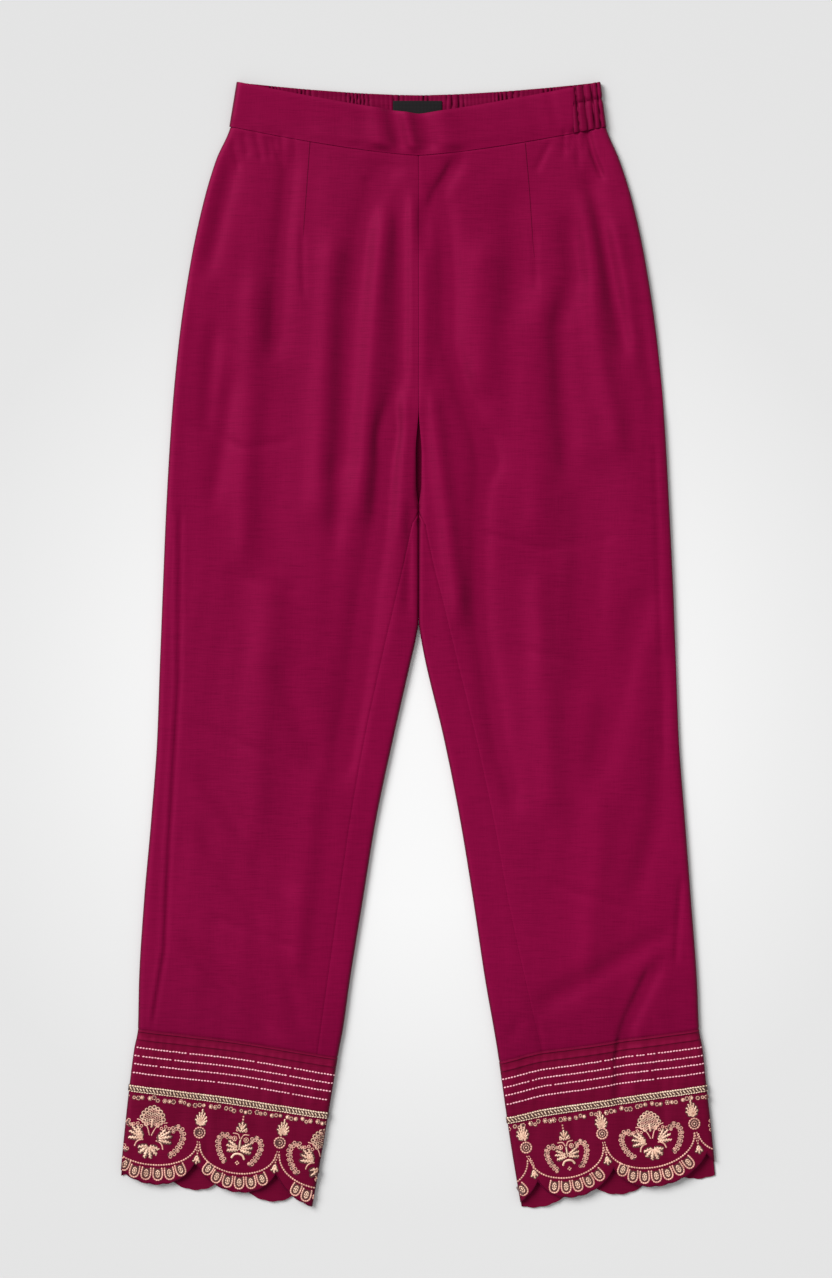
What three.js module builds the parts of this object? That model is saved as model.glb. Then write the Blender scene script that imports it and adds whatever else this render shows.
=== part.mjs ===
// Straight ankle-length trousers laid flat with the front up, in millimetres.
// X runs across the legs, Y runs up to the waist and Z rises from the surface underneath.
// Right and left are the wearer's, so the right leg lies at negative X.
import {
  Box3, BoxGeometry, BufferAttribute, BufferGeometry, Color, Group, Mesh, MeshStandardMaterial, Vector3,
} from 'three';

const sideSign = { right: -1, left: 1 };
const legMiddleX = 158;

const clothWall = 1.2;
const seamGap = 0.3;
const bandWall = 2.2;
const braidWall = 1;
const labelWall = 1;

// Heights of the outer face of the front above the surface underneath.
const loftHeight = 5.6;
const lowestTrough = 2.9;
const bandHeight = 7.0;

// Where the legs part, and how far down the front seam sinks between them.
const crotchY = 120;
const valleyTopY = 215;
const seamRise = 2.3;
const wrapStart = 2.5;
const wrapRun = 30;

// The waist seam and both top edges of the waistband sag towards the middle.
const waistHalf = 161;
const frontSeamLine = { middle: 425.4, rise: 24.4, power: 1.35 };
const frontTopLine = { middle: 461.5, rise: 28.3, power: 1.15 };
const backSeamLine = { middle: 440.1, rise: 9.7, power: 1 };
const backTopLine = { middle: 477.9, rise: 11.6, power: 1.6 };

// Hem band, measured down from the top edge of its braid.
const hemBand = { top: -48.7, braid: 5.6, notch: 58, firstTuck: -46.8, secondTuck: -40, tuckRise: 0.9 };
const tuckHalf = 0.9;

// Distance of each leg's edges and of its inseam from the centre line.
const legOutline = {
  right: [
    { y: 489, outer: 156.8, inner: 0.2, inseam: 0.2 },
    { y: 450, outer: 163.8, inner: 0.2, inseam: 0.2 },
    { y: 422, outer: 176.0, inner: 0.2, inseam: 0.2 },
    { y: 387, outer: 186.6, inner: 0.2, inseam: 0.2 },
    { y: 335, outer: 197.9, inner: 0.2, inseam: 0.2 },
    { y: 265, outer: 208.4, inner: 0.2, inseam: 0.2 },
    { y: 195, outer: 215.0, inner: 0.2, inseam: 0.2 },
    { y: 120, outer: 219.5, inner: 0.2, inseam: 4.0 },
    { y: 74, outer: 221.5, inner: 0.2, inseam: 12.0 },
    { y: 39, outer: 222.9, inner: 0.2, inseam: 20.4 },
    { y: 8, outer: 224.1, inner: 1.3, inseam: 27.7 },
    { y: -14, outer: 225.0, inner: 6.5, inseam: 32.6 },
    { y: -83, outer: 227.5, inner: 22.2, inseam: 47.4 },
    { y: -153, outer: 232.7, inner: 37.0, inseam: 59.6 },
    { y: -222, outer: 238.8, inner: 48.3, inseam: 69.4 },
    { y: -292, outer: 243.2, inner: 59.6, inseam: 79.2 },
    { y: -335, outer: 244.2, inner: 65.7, inseam: 85.2 },
    { y: -351, outer: 247.3, inner: 68.8, inseam: 87.4 },
    { y: -379, outer: 251.0, inner: 73.5, inseam: 91.0 },
    { y: -431, outer: 256.6, inner: 82.2, inseam: 98.0 },
    { y: -489, outer: 261.9, inner: 92.3, inseam: 106.0 },
  ],
  left: [
    { y: 489, outer: 156.8, inner: 0.2, inseam: 0.2 },
    { y: 450, outer: 163.2, inner: 0.2, inseam: 0.2 },
    { y: 422, outer: 174.6, inner: 0.2, inseam: 0.2 },
    { y: 387, outer: 185.7, inner: 0.2, inseam: 0.2 },
    { y: 335, outer: 197.1, inner: 0.2, inseam: 0.2 },
    { y: 265, outer: 207.5, inner: 0.2, inseam: 0.2 },
    { y: 195, outer: 214.0, inner: 0.2, inseam: 0.2 },
    { y: 120, outer: 218.2, inner: 0.2, inseam: 4.0 },
    { y: 74, outer: 220.5, inner: 0.2, inseam: 12.0 },
    { y: 39, outer: 222.1, inner: 0.2, inseam: 20.7 },
    { y: 8, outer: 223.2, inner: 1.3, inseam: 28.2 },
    { y: -14, outer: 224.0, inner: 5.7, inseam: 33.6 },
    { y: -83, outer: 226.6, inner: 22.2, inseam: 50.3 },
    { y: -153, outer: 231.9, inner: 36.1, inseam: 65.3 },
    { y: -222, outer: 237.1, inner: 47.4, inseam: 77.7 },
    { y: -292, outer: 242.3, inner: 57.9, inseam: 92.8 },
    { y: -335, outer: 244.2, inner: 65.5, inseam: 102.7 },
    { y: -351, outer: 247.2, inner: 68.2, inseam: 106.5 },
    { y: -379, outer: 250.1, inner: 72.2, inseam: 111.4 },
    { y: -431, outer: 255.8, inner: 79.6, inseam: 119.0 },
    { y: -489, outer: 261.4, inner: 89.2, inseam: 128.0 },
  ],
};

// Frame of each hem band: the end of its braid's top edge that is nearest to negative X, and the
// tilt of the braid in degrees. The scallops are counted along the braid from there.
const hemFrames = {
  right: { x: -251.0, y: -382.4, tilt: -8.07 },
  left: { x: 77.0, y: -411.1, tilt: 9.32 },
};
const scallops = {
  right: {
    front: [
      { start: -10.5, end: 66.5, low: 82.5 },
      { start: 66.5, end: 135.8, low: 79.0 },
      { start: 135.8, end: 214.0, low: 83.0 },
    ],
    back: [
      { start: -48.0, end: 30.0, low: 81.0 },
      { start: 30.0, end: 96.0, low: 83.0 },
      { start: 96.0, end: 163.0, low: 83.5 },
      { start: 163.0, end: 230.0, low: 79.0 },
    ],
  },
  left: {
    front: [
      { start: -55.0, end: 14.8, low: 79.0 },
      { start: 14.8, end: 79.6, low: 77.0 },
      { start: 79.6, end: 159.7, low: 79.5 },
      { start: 159.7, end: 228.0, low: 77.0 },
    ],
    back: [
      { start: -20.0, end: 54.0, low: 81.5 },
      { start: 54.0, end: 124.0, low: 82.0 },
      { start: 124.0, end: 190.0, low: 80.0 },
      { start: 190.0, end: 262.0, low: 78.0 },
    ],
  },
};

// Main folds of the front: positive heights are ridges and negative ones are troughs.
const folds = [
  { height: -2.6, width: 13, along: [[-113, 407], [-118, 351], [-123, 270]] },
  { height: -2.9, width: 20, along: [[-32, 406], [-50, 350], [-61, 291], [-67, 165]] },
  { height: -3.1, width: 14, along: [[-15, 377], [-14, 333], [-15, 240], [-26, 184]] },
  { height: -3.6, width: 18, along: [[-25, 183], [-33, 109], [-44, 49], [-55, -43], [-66, -99]] },
  { height: -2.3, width: 11, along: [[-165, 402], [-180, 340]] },
  { height: -2.0, width: 11, along: [[-179, 259], [-183, 203]] },
  { height: -1.8, width: 12, along: [[-164, 217], [-176, 142]] },
  { height: -1.7, width: 12, along: [[-72, 143], [-72, 107]] },
  { height: -2.1, width: 16, along: [[-115, -33], [-93, -92]] },
  { height: -2.1, width: 15, along: [[-179, -123], [-123, -202]] },
  { height: -1.8, width: 13, along: [[-183, -170], [-146, -229]] },
  { height: -2.3, width: 11, along: [[-189, -273], [-137, -325]] },
  { height: -1.6, width: 11, along: [[-113, -289], [-107, -317]] },
  { height: 3.1, width: 19, along: [[-76, 333], [-84, 128]] },
  { height: 2.9, width: 14, along: [[-32, 360], [-50, 128]] },
  { height: 2.6, width: 12, along: [[-2, 370], [-1, 250]] },
  { height: 2.1, width: 11, along: [[-12, 203], [-16, 110]] },
  { height: 2.3, width: 16, along: [[-143, 300], [-151, 90]] },
  { height: 2.0, width: 20, along: [[-132, 40], [-142, -160]] },
  { height: 1.8, width: 15, along: [[-90, -121], [-106, -271]] },
  { height: -3.1, width: 14, along: [[22, 375], [26, 322], [26, 260], [45, 204], [60, 167]] },
  { height: -3.1, width: 15, along: [[60, 166], [53, 110], [55, 13], [70, -80], [81, -124]] },
  { height: -2.3, width: 10, along: [[28, 409], [7, 375], [4, 353]] },
  { height: -2.6, width: 15, along: [[133, 351], [137, 321], [122, 277], [130, 166]] },
  { height: -2.5, width: 11, along: [[151, 393], [166, 327], [177, 271]] },
  { height: -2.2, width: 20, along: [[83, 378], [88, 301]] },
  { height: -2.1, width: 11, along: [[191, 278], [205, 222]] },
  { height: -2.6, width: 26, along: [[149, 143], [149, -24]] },
  { height: -2.6, width: 20, along: [[191, 30], [158, -100]] },
  { height: -2.1, width: 15, along: [[212, -17], [207, -155], [193, -203]] },
  { height: -2.1, width: 13, along: [[201, -259], [119, -307]] },
  { height: -3.1, width: 9, along: [[202, -292], [182, -333], [178, -373]] },
  { height: 2.2, width: 11, along: [[13, 204], [25, 111]] },
  { height: 2.9, width: 20, along: [[57, 330], [57, 240]] },
  { height: 2.9, width: 14, along: [[148, 371], [156, 263], [171, 185]] },
  { height: 2.1, width: 11, along: [[173, 352], [188, 271]] },
  { height: 2.6, width: 26, along: [[103, 290], [103, 110]] },
  { height: 2.2, width: 18, along: [[104, 41], [116, -129]] },
  { height: 2.0, width: 18, along: [[158, -151], [148, -271]] },
];
const foldFade = 32;

// Rows of wall sections down the leg, given by where the front's one crosses the centre line.
const legRows = [
  408, 384, 356, 326, 296, 264, 232, 200, 174, 150, 133, crotchY, 116.5, 106, 94, 78, 58, 34, 10,
  -12, -42, -78, -114, -150, -188, -226, -264, -300, -326,
];
const hemRows = [
  hemBand.firstTuck - tuckHalf,
  hemBand.firstTuck,
  hemBand.firstTuck + tuckHalf,
  hemBand.secondTuck - tuckHalf,
  hemBand.secondTuck,
  hemBand.secondTuck + tuckHalf,
  -20,
  0,
  hemBand.braid,
  32,
];

const clamp = (value, low, high) => Math.min(high, Math.max(low, value));
const mix = (from, to, share) => from + (to - from) * share;
const ease = (value) => {
  const share = clamp(value, 0, 1);
  return share * share * (3 - 2 * share);
};

// One column of a table as a smooth curve over its y column, without overshoot.
function curveOf(table, column) {
  const rows = [...table].sort((first, second) => first.y - second.y);
  const secants = rows.slice(1).map((row, i) => (row[column] - rows[i][column]) / (row.y - rows[i].y));
  const slopes = rows.map((row, i) => {
    const before = secants[Math.max(i - 1, 0)];
    const after = secants[Math.min(i, secants.length - 1)];
    return before * after <= 0 ? 0 : (2 * before * after) / (before + after);
  });
  return (y) => {
    const at = clamp(y, rows[0].y, rows[rows.length - 1].y);
    const i = Math.max(rows.findIndex((row) => row.y >= at), 1);
    const span = rows[i].y - rows[i - 1].y;
    const t = (at - rows[i - 1].y) / span;
    return (
      (1 + 2 * t) * (1 - t) * (1 - t) * rows[i - 1][column] +
      t * (1 - t) * (1 - t) * span * slopes[i - 1] +
      t * t * (3 - 2 * t) * rows[i][column] +
      t * t * (t - 1) * span * slopes[i]
    );
  };
}

const outline = {};
for (const side of ['right', 'left']) {
  outline[side] = {};
  for (const column of ['outer', 'inner', 'inseam']) {
    outline[side][column] = curveOf(legOutline[side], column);
  }
}

// Distance of a place from a fold's line, and how far it lies beyond the line's ends.
function nearestOnLine(along, x, y) {
  let nearest = { across: Infinity, away: Infinity, beyond: 0 };
  for (let i = 1; i < along.length; i += 1) {
    const [x0, y0] = along[i - 1];
    const [x1, y1] = along[i];
    const length = Math.hypot(x1 - x0, y1 - y0);
    const ahead = ((x - x0) * (x1 - x0) + (y - y0) * (y1 - y0)) / length;
    const aside = Math.abs((x - x0) * (y1 - y0) - (y - y0) * (x1 - x0)) / length;
    const beyond = Math.max(-ahead, ahead - length, 0);
    const away = Math.hypot(aside, beyond);
    if (away < nearest.away) {
      nearest = { across: aside, away, beyond };
    }
  }
  return nearest;
}

// Outer height of the front at a place on it.
function frontHeight(x, y) {
  let height = loftHeight;
  for (const fold of folds) {
    const { across, beyond } = nearestOnLine(fold.along, x, y);
    height += fold.height * Math.exp(-2 * (across / fold.width) ** 2) * (1 - ease(beyond / foldFade));
  }
  return Math.max(height, lowestTrough);
}

// The loop that one cross-section of a flattened tube makes, from the inner bottom corner up round
// the inner edge, over the top to the outer edge, and back along the flat bottom. Each edge has the
// reach of its upper and lower curve and the height of its widest point.
function sectionLoop({ inner, outer, top, ditch = 0, roll = 1 }) {
  const points = [];
  const quarter = 8;
  const innerTop = top(inner.x + inner.up);
  const innerMiddle = mix(innerTop - ditch, inner.middle, roll);
  const lower = inner.low * roll;
  for (let i = 0; i <= quarter; i += 1) {
    const turn = (Math.PI / 2) * (i / quarter);
    points.push([inner.x + lower * (1 - Math.sin(turn)), innerMiddle * (1 - Math.cos(turn))]);
  }
  for (let i = 1; i <= quarter; i += 1) {
    const t = i / quarter;
    const turn = (Math.PI / 2) * t;
    const rolled = [1 - Math.cos(turn), mix(innerMiddle, innerTop, Math.sin(turn))];
    const sunk = [t, innerTop - ditch * (1 - t) ** 2];
    points.push([inner.x + inner.up * mix(sunk[0], rolled[0], roll), mix(sunk[1], rolled[1], roll)]);
  }
  const from = inner.x + inner.up;
  const to = outer.x - outer.up;
  const steps = Math.ceil((to - from) / 2);
  for (let i = 1; i <= steps; i += 1) {
    const x = mix(from, to, i / steps);
    points.push([x, top(x)]);
  }
  const outerTop = top(to);
  for (let i = 1; i <= quarter; i += 1) {
    const turn = (Math.PI / 2) * (i / quarter);
    points.push([to + outer.up * Math.sin(turn), mix(outer.middle, outerTop, Math.cos(turn))]);
  }
  for (let i = 1; i <= quarter; i += 1) {
    const turn = (Math.PI / 2) * (i / quarter);
    points.push([outer.x - outer.low * (1 - Math.cos(turn)), outer.middle * (1 - Math.sin(turn))]);
  }
  const outerBottom = points.length - 1;
  points.push([inner.x + lower, 0]);
  const lengths = [0];
  for (let i = 1; i < points.length; i += 1) {
    lengths.push(lengths[i - 1] + Math.hypot(points[i][0] - points[i - 1][0], points[i][1] - points[i - 1][1]));
  }
  return {
    points,
    lengths,
    roll,
    widest: lengths[quarter],
    outerTurn: lengths[outerBottom - 2 * quarter],
    outerWidest: lengths[outerBottom - quarter],
    corner: lengths[outerBottom],
    whole: lengths[outerBottom + 1],
  };
}

// The place at a length along a loop, and the outward direction there.
function alongLoop(loop, length) {
  const at = length > loop.whole ? length - loop.whole : length;
  const i = Math.max(loop.lengths.findIndex((mark) => mark >= at), 1);
  const share = (at - loop.lengths[i - 1]) / (loop.lengths[i] - loop.lengths[i - 1]);
  const direction = (index) => {
    const before = loop.points[Math.max(index - 1, 0)];
    const after = loop.points[Math.min(index + 1, loop.points.length - 1)];
    return [after[0] - before[0], after[1] - before[1]];
  };
  const first = direction(i - 1);
  const second = direction(i);
  const run = [mix(first[0], second[0], share), mix(first[1], second[1], share)];
  const size = Math.hypot(run[0], run[1]);
  return {
    length,
    x: mix(loop.points[i - 1][0], loop.points[i][0], share),
    z: mix(loop.points[i - 1][1], loop.points[i][1], share),
    outX: -run[1] / size,
    outZ: run[0] / size,
  };
}

// The length along a loop at which its top passes a given x.
function lengthAtTop(loop, x) {
  const i = loop.points.findIndex((point, index) => loop.lengths[index] > loop.widest && point[0] >= x);
  const share = (x - loop.points[i - 1][0]) / (loop.points[i][0] - loop.points[i - 1][0]);
  return mix(loop.lengths[i - 1], loop.lengths[i], share);
}

// A closed wall from rows of points on its outer face and the same points on its inner face.
function wallGeometry(outerRows, innerRows) {
  const rows = outerRows.length;
  const columns = outerRows[0].length;
  const positions = [...outerRows.flat(), ...innerRows.flat()].flat();
  const triangles = [];
  const quad = (a, b, c, d) => triangles.push(a, b, c, a, c, d);
  const outer = (row, column) => row * columns + column;
  const inner = (row, column) => rows * columns + outer(row, column);
  for (let row = 1; row < rows; row += 1) {
    for (let column = 1; column < columns; column += 1) {
      quad(outer(row - 1, column - 1), outer(row - 1, column), outer(row, column), outer(row, column - 1));
      quad(inner(row - 1, column - 1), inner(row, column - 1), inner(row, column), inner(row - 1, column));
    }
  }
  for (let row = 1; row < rows; row += 1) {
    const last = columns - 1;
    quad(outer(row, 0), inner(row, 0), inner(row - 1, 0), outer(row - 1, 0));
    quad(outer(row - 1, last), inner(row - 1, last), inner(row, last), outer(row, last));
  }
  for (let column = 1; column < columns; column += 1) {
    const last = rows - 1;
    quad(outer(0, column - 1), inner(0, column - 1), inner(0, column), outer(0, column));
    quad(outer(last, column), inner(last, column), inner(last, column - 1), outer(last, column - 1));
  }
  if (signedVolume(positions, triangles) < 0) {
    triangles.reverse();
  }
  const geometry = new BufferGeometry();
  geometry.setAttribute('position', new BufferAttribute(new Float32Array(positions), 3));
  geometry.setIndex(triangles);
  geometry.computeVertexNormals();
  return geometry;
}

function signedVolume(positions, triangles) {
  let volume = 0;
  for (let i = 0; i < triangles.length; i += 3) {
    const [a, b, c] = [0, 1, 2].map((k) => {
      const start = 3 * triangles[i + k];
      return positions.slice(start, start + 3);
    });
    volume += a[0] * (b[1] * c[2] - b[2] * c[1]);
    volume += a[1] * (b[2] * c[0] - b[0] * c[2]);
    volume += a[2] * (b[0] * c[1] - b[1] * c[0]);
  }
  return volume / 6;
}

// Shares of the way from one end of a piece to the other, closer together near both ends.
function spacedShares(middleSteps, endSteps, endShare) {
  const shares = [];
  for (let i = 0; i < endSteps; i += 1) {
    shares.push((endShare * i) / endSteps);
  }
  for (let i = 0; i <= middleSteps; i += 1) {
    shares.push(mix(endShare, 1 - endShare, i / middleSteps));
  }
  for (let i = 1; i <= endSteps; i += 1) {
    shares.push(1 - endShare + (endShare * i) / endSteps);
  }
  return shares;
}

// Line of a leg's row at x: it follows the waist seam at the top and the hem band at the bottom.
function legLine(side, height, seam) {
  const sign = sideSign[side];
  const hem = hemFrames[side];
  const slope = Math.tan((hem.tilt * Math.PI) / 180);
  const middleX = sign * legMiddleX;
  const hemMiddle = hem.y + (middleX - hem.x) * slope - hemBand.top / Math.cos((hem.tilt * Math.PI) / 180);
  const lowering = ease((-110 - height) / (-110 - hemMiddle));
  const raising = ease((height - 300) / (frontSeamLine.middle - 300));
  const sideY = height + frontSeamLine.rise * raising;
  return (x) => sideY - seam.rise * raising * (1 - (Math.abs(x) / waistHalf) ** seam.power)
    + slope * lowering * (x - middleX);
}

// Line of a hem band's row at x, a distance down from the braid's top edge.
function hemLine(side, down) {
  const hem = hemFrames[side];
  const tilt = (hem.tilt * Math.PI) / 180;
  return (x) => hem.y + (x - hem.x) * Math.tan(tilt) - down(x) / Math.cos(tilt);
}

// How far down the scalloped edge lies below the braid's top edge at x.
function scallopDepth(side, layer) {
  const hem = hemFrames[side];
  const tilt = (hem.tilt * Math.PI) / 180;
  return (x) => {
    const across = (x - hem.x) * Math.cos(tilt) - (hemBand.notch + 14) * Math.sin(tilt);
    const list = scallops[side][layer];
    const scallop = list.find((one) => across < one.end) ?? list[list.length - 1];
    const half = (scallop.end - scallop.start) / 2;
    const offset = clamp((across - scallop.start - half) / half, -1, 1);
    return mix(hemBand.notch, scallop.low, Math.sqrt(1 - offset * offset * 0.88) * 1.53 - 0.53);
  };
}

// The section of a leg where a row line crosses it, in distances from the centre line.
function legSection(side, line, raised = 0) {
  const sign = sideSign[side];
  const edge = (column) => {
    let x = outline[side][column](line(0));
    for (let i = 0; i < 6; i += 1) {
      x = outline[side][column](line(sign * x));
    }
    return x;
  };
  const middleY = line(sign * edge('inner'));
  const below = ease((crotchY - middleY) / 26);
  const isLeg = middleY < crotchY - 0.01;
  const sinking = ease((valleyTopY - middleY) / (valleyTopY - crotchY - 8));
  const innerUp = mix(7, 4.5, below);
  const top = (x) => frontHeight(sign * x, line(sign * x)) + raised;
  const innerX = edge('inner');
  const deep = top(innerX + innerUp) - lowestTrough;
  return sectionLoop({
    inner: { x: innerX, up: innerUp, low: 2.4, middle: mix(2, 2.5, below) },
    outer: { x: edge('outer'), up: 5, low: 2.6, middle: 2.6 },
    top,
    ditch: isLeg ? 0 : Math.max(0.3, deep * sinking),
    roll: isLeg ? 1 : 0,
  });
}

// Where along a leg's section the inseam lies: it climbs from the crotch round the inner edge.
function inseamLength(side, line, loop) {
  const sign = sideSign[side];
  let x = outline[side].inseam(line(0));
  for (let i = 0; i < 6; i += 1) {
    x = outline[side].inseam(line(sign * x));
  }
  const middleY = line(sign * x);
  if (middleY >= crotchY - 0.01) {
    return loop.widest;
  }
  return mix(wrapStart, lengthAtTop(loop, x), ease((crotchY - middleY) / wrapRun));
}

// Turns lengths along a row's section into points on both faces of a wall.
function rowPoints({ sign = 1, line, loop, lengths, outside = () => 0, inside }) {
  const face = (place, lift) => {
    const x = sign * (place.x + place.outX * lift);
    return [x, line(x, place.length), Math.max(place.z + place.outZ * lift, 0)];
  };
  const places = lengths.map((length) => alongLoop(loop, length));
  return {
    outer: places.map((place) => face(place, outside(place))),
    inner: places.map((place) => face(place, -inside(place))),
  };
}

function wallFrom(rows) {
  return wallGeometry(rows.map((row) => row.outer), rows.map((row) => row.inner));
}

const plainWall = (thickness) => () => thickness;

function legLines(side, seam) {
  const lines = [frontSeamLine.middle - seamGap, ...legRows].map((height) => legLine(side, height, seam));
  return [...lines, hemLine(side, () => hemBand.top - seamGap)];
}

function frontPanel(side) {
  const shares = spacedShares(20, 3, 0.035);
  return wallFrom(legLines(side, frontSeamLine).map((line) => {
    const loop = legSection(side, line);
    const start = inseamLength(side, line, loop) + seamGap / 2;
    const end = loop.corner - seamRise - seamGap / 2;
    const lengths = shares.map((share) => mix(start, end, share));
    return rowPoints({ sign: sideSign[side], line, loop, lengths, inside: plainWall(clothWall) });
  }));
}

// The back lies flat, turns up round the inner edge below the crotch and ends at the inseam.
function backPanel(side) {
  const flatEnd = 3;
  const bendSteps = 6;
  const wrapSteps = 2;
  return wallFrom(legLines(side, backSeamLine).map((line) => {
    const loop = legSection(side, line);
    const start = loop.corner - seamRise + seamGap / 2;
    const isLeg = loop.roll === 1;
    const wrap = isLeg ? inseamLength(side, line, loop) - seamGap / 2 : 0;
    const corner = loop.whole - flatEnd;
    const bend = Math.min((wrap + flatEnd) * 0.75, loop.widest * 2 + flatEnd + 2);
    const lengths = [start, start + 1.2, loop.corner, mix(loop.corner, corner, 0.5), corner];
    for (let i = 1; i <= bendSteps; i += 1) {
      lengths.push(corner + (bend * i) / bendSteps);
    }
    for (let i = 1; i <= wrapSteps; i += 1) {
      lengths.push(corner + mix(bend, wrap + flatEnd, i / wrapSteps));
    }
    return rowPoints({ sign: sideSign[side], line, loop, lengths, inside: plainWall(clothWall) });
  }));
}

// Both halves of the waistband follow one flattened tube, closed round the left and right edges.
const bandSeamX = 134.4;
const bandEnds = { bottom: 163.5, top: 156.8 };
const bandShares = [0, 0.07, 0.5, 0.93, 1];
const bandEdgeDrop = 0.7;
const casingShares = [0, 1];
const casingWall = 1.2;
const gather = { pitch: 7, rise: 1.5 };
const casingSteps = 132;

const sagLine = (line) => (x) => line.middle + line.rise * (Math.abs(x) / waistHalf) ** line.power;
const lineBetween = (low, high, share) => (x) => mix(sagLine(low)(x), sagLine(high)(x), share);

function bandSection(line, drop) {
  const share = (line(waistHalf) - 450) / (489 - 450);
  const half = mix(bandEnds.bottom, bandEnds.top, share);
  return sectionLoop({
    inner: { x: -half, up: 5, low: 3, middle: 3.2 },
    outer: { x: half, up: 5, low: 3, middle: 3.2 },
    top: () => bandHeight - drop,
  });
}

function frontBand() {
  const shares = spacedShares(18, 4, 0.05);
  return wallFrom(bandShares.map((share) => {
    const line = lineBetween(frontSeamLine, frontTopLine, share);
    const drop = share === 0 || share === 1 ? bandEdgeDrop : 0;
    const loop = bandSection(line, drop);
    const start = seamRise + seamGap / 2;
    const end = lengthAtTop(loop, bandSeamX) - seamGap / 2;
    const lengths = shares.map((step) => mix(start, end, step));
    return rowPoints({ line, loop, lengths, inside: plainWall(bandWall - drop) });
  }));
}

// The casing's gathers stand on its inner face, which shows above the front band, and on its outer
// face where it wraps round the left side onto the front.
function backCasing() {
  const wave = (x, share) => 0.5 + 0.5 * Math.cos((2 * Math.PI * x) / gather.pitch + 0.9 * Math.sin(x / 11 + share));
  const wrapSteps = 14;
  const turnSteps = 4;
  return wallFrom(casingShares.map((share) => {
    const over = lineBetween(frontSeamLine, frontTopLine, share);
    const under = lineBetween(backSeamLine, backTopLine, share);
    const loop = bandSection(under, 0);
    const start = lengthAtTop(loop, bandSeamX) + seamGap / 2;
    const lengths = [];
    for (let i = 0; i < wrapSteps; i += 1) {
      lengths.push(mix(start, loop.outerTurn, i / wrapSteps));
    }
    for (let i = 0; i < turnSteps; i += 1) {
      lengths.push(mix(loop.outerTurn, loop.corner, i / turnSteps));
    }
    for (let i = 0; i <= casingSteps; i += 1) {
      lengths.push(mix(loop.corner, loop.whole, i / casingSteps));
    }
    lengths.push(loop.whole + seamRise / 2, loop.whole + seamRise - seamGap / 2);
    const isUnder = (place) => place.length > loop.corner && place.length < loop.whole;
    return rowPoints({
      line: (x, length) => (length < loop.outerWidest ? over(x) : under(x)),
      loop,
      lengths,
      outside: (place) => (place.length < loop.outerTurn ? 0.8 * (wave(place.x, share) - 1) : 0),
      inside: (place) => casingWall + (isUnder(place) ? gather.rise * wave(place.x, share) : 0),
    });
  }));
}

// Half of a hem band: the front half carries the pintucks, and both halves end in scallops.
const hemShares = spacedShares(20, 3, 0.035);

function hemFrontRow(side, down, isTuck) {
  const line = hemLine(side, down);
  const loop = legSection(side, line, isTuck ? hemBand.tuckRise : 0);
  const start = seamRise + seamGap / 2;
  const end = loop.corner - seamRise - seamGap / 2;
  return { line, loop, lengths: hemShares.map((share) => mix(start, end, share)) };
}

function hemFront(side) {
  const tucks = [hemBand.firstTuck, hemBand.secondTuck];
  const depths = [hemBand.top, ...hemRows, hemBand.notch - 4].map((depth) => () => depth);
  depths.push(scallopDepth(side, 'front'));
  return wallFrom(depths.map((down) => {
    const row = hemFrontRow(side, down, tucks.includes(down(0)));
    return rowPoints({ sign: sideSign[side], ...row, inside: plainWall(clothWall) });
  }));
}

function hemBack(side) {
  const flatSteps = 26;
  const depths = [() => hemBand.top, () => 0, () => hemBand.notch - 4, scallopDepth(side, 'back')];
  return wallFrom(depths.map((down) => {
    const line = hemLine(side, down);
    const loop = legSection(side, line);
    const start = loop.corner - seamRise + seamGap / 2;
    const lengths = [start, start + 1.2];
    for (let i = 0; i <= flatSteps; i += 1) {
      lengths.push(mix(loop.corner, loop.whole, i / flatSteps));
    }
    lengths.push(loop.whole + 1.1, loop.whole + seamRise - seamGap / 2);
    return rowPoints({ sign: sideSign[side], line, loop, lengths, inside: plainWall(clothWall) });
  }));
}

// The braid is laid on the front half of the band, from one edge round to the other.
function braidStrip(side) {
  const depths = [() => 0, () => hemBand.braid];
  return wallFrom(depths.map((down) => {
    const row = hemFrontRow(side, down, false);
    row.lengths = row.lengths.slice(1, -1);
    return rowPoints({
      sign: sideSign[side],
      ...row,
      outside: plainWall(seamGap + braidWall),
      inside: plainWall(-seamGap),
    });
  }));
}

// A bare rectangle sewn to the inner face of the casing, partly behind the front band.
const label = { width: 42.6, height: 22, top: 472.8, middleX: -0.9, bottomZ: 3.05 };

const silk = new MeshStandardMaterial({ color: new Color(0x870a3c), roughness: 0.45, metalness: 0 });
const hemSilk = new MeshStandardMaterial({ color: new Color(0x730f37), roughness: 0.5, metalness: 0 });
const goldThread = new MeshStandardMaterial({ color: new Color(0xdcc896), roughness: 0.5, metalness: 0.3 });
const blackWeave = new MeshStandardMaterial({ color: new Color(0x2d3030), roughness: 0.8, metalness: 0 });

const trousers = new Group();
function addPiece(name, geometry, material) {
  const mesh = new Mesh(geometry, material.clone());
  mesh.name = name;
  trousers.add(mesh);
  return mesh;
}

for (const side of ['right', 'left']) {
  addPiece(`front_${side}`, frontPanel(side), silk);
  addPiece(`back_${side}`, backPanel(side), silk);
  addPiece(`hem_front_${side}`, hemFront(side), hemSilk);
  addPiece(`hem_back_${side}`, hemBack(side), hemSilk);
  addPiece(`braid_${side}`, braidStrip(side), goldThread);
}
addPiece('waistband_front', frontBand(), silk);
addPiece('waistband_back', backCasing(), silk);

const labelPiece = addPiece('label', new BoxGeometry(label.width, label.height, labelWall), blackWeave);
labelPiece.position.set(label.middleX, label.top - label.height / 2, label.bottomZ + labelWall / 2);

// The middle of the whole outline goes to the origin.
const middle = new Box3().setFromObject(trousers).getCenter(new Vector3());
trousers.position.set(-middle.x, -middle.y, 0);

export default trousers;
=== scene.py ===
import math

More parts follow.
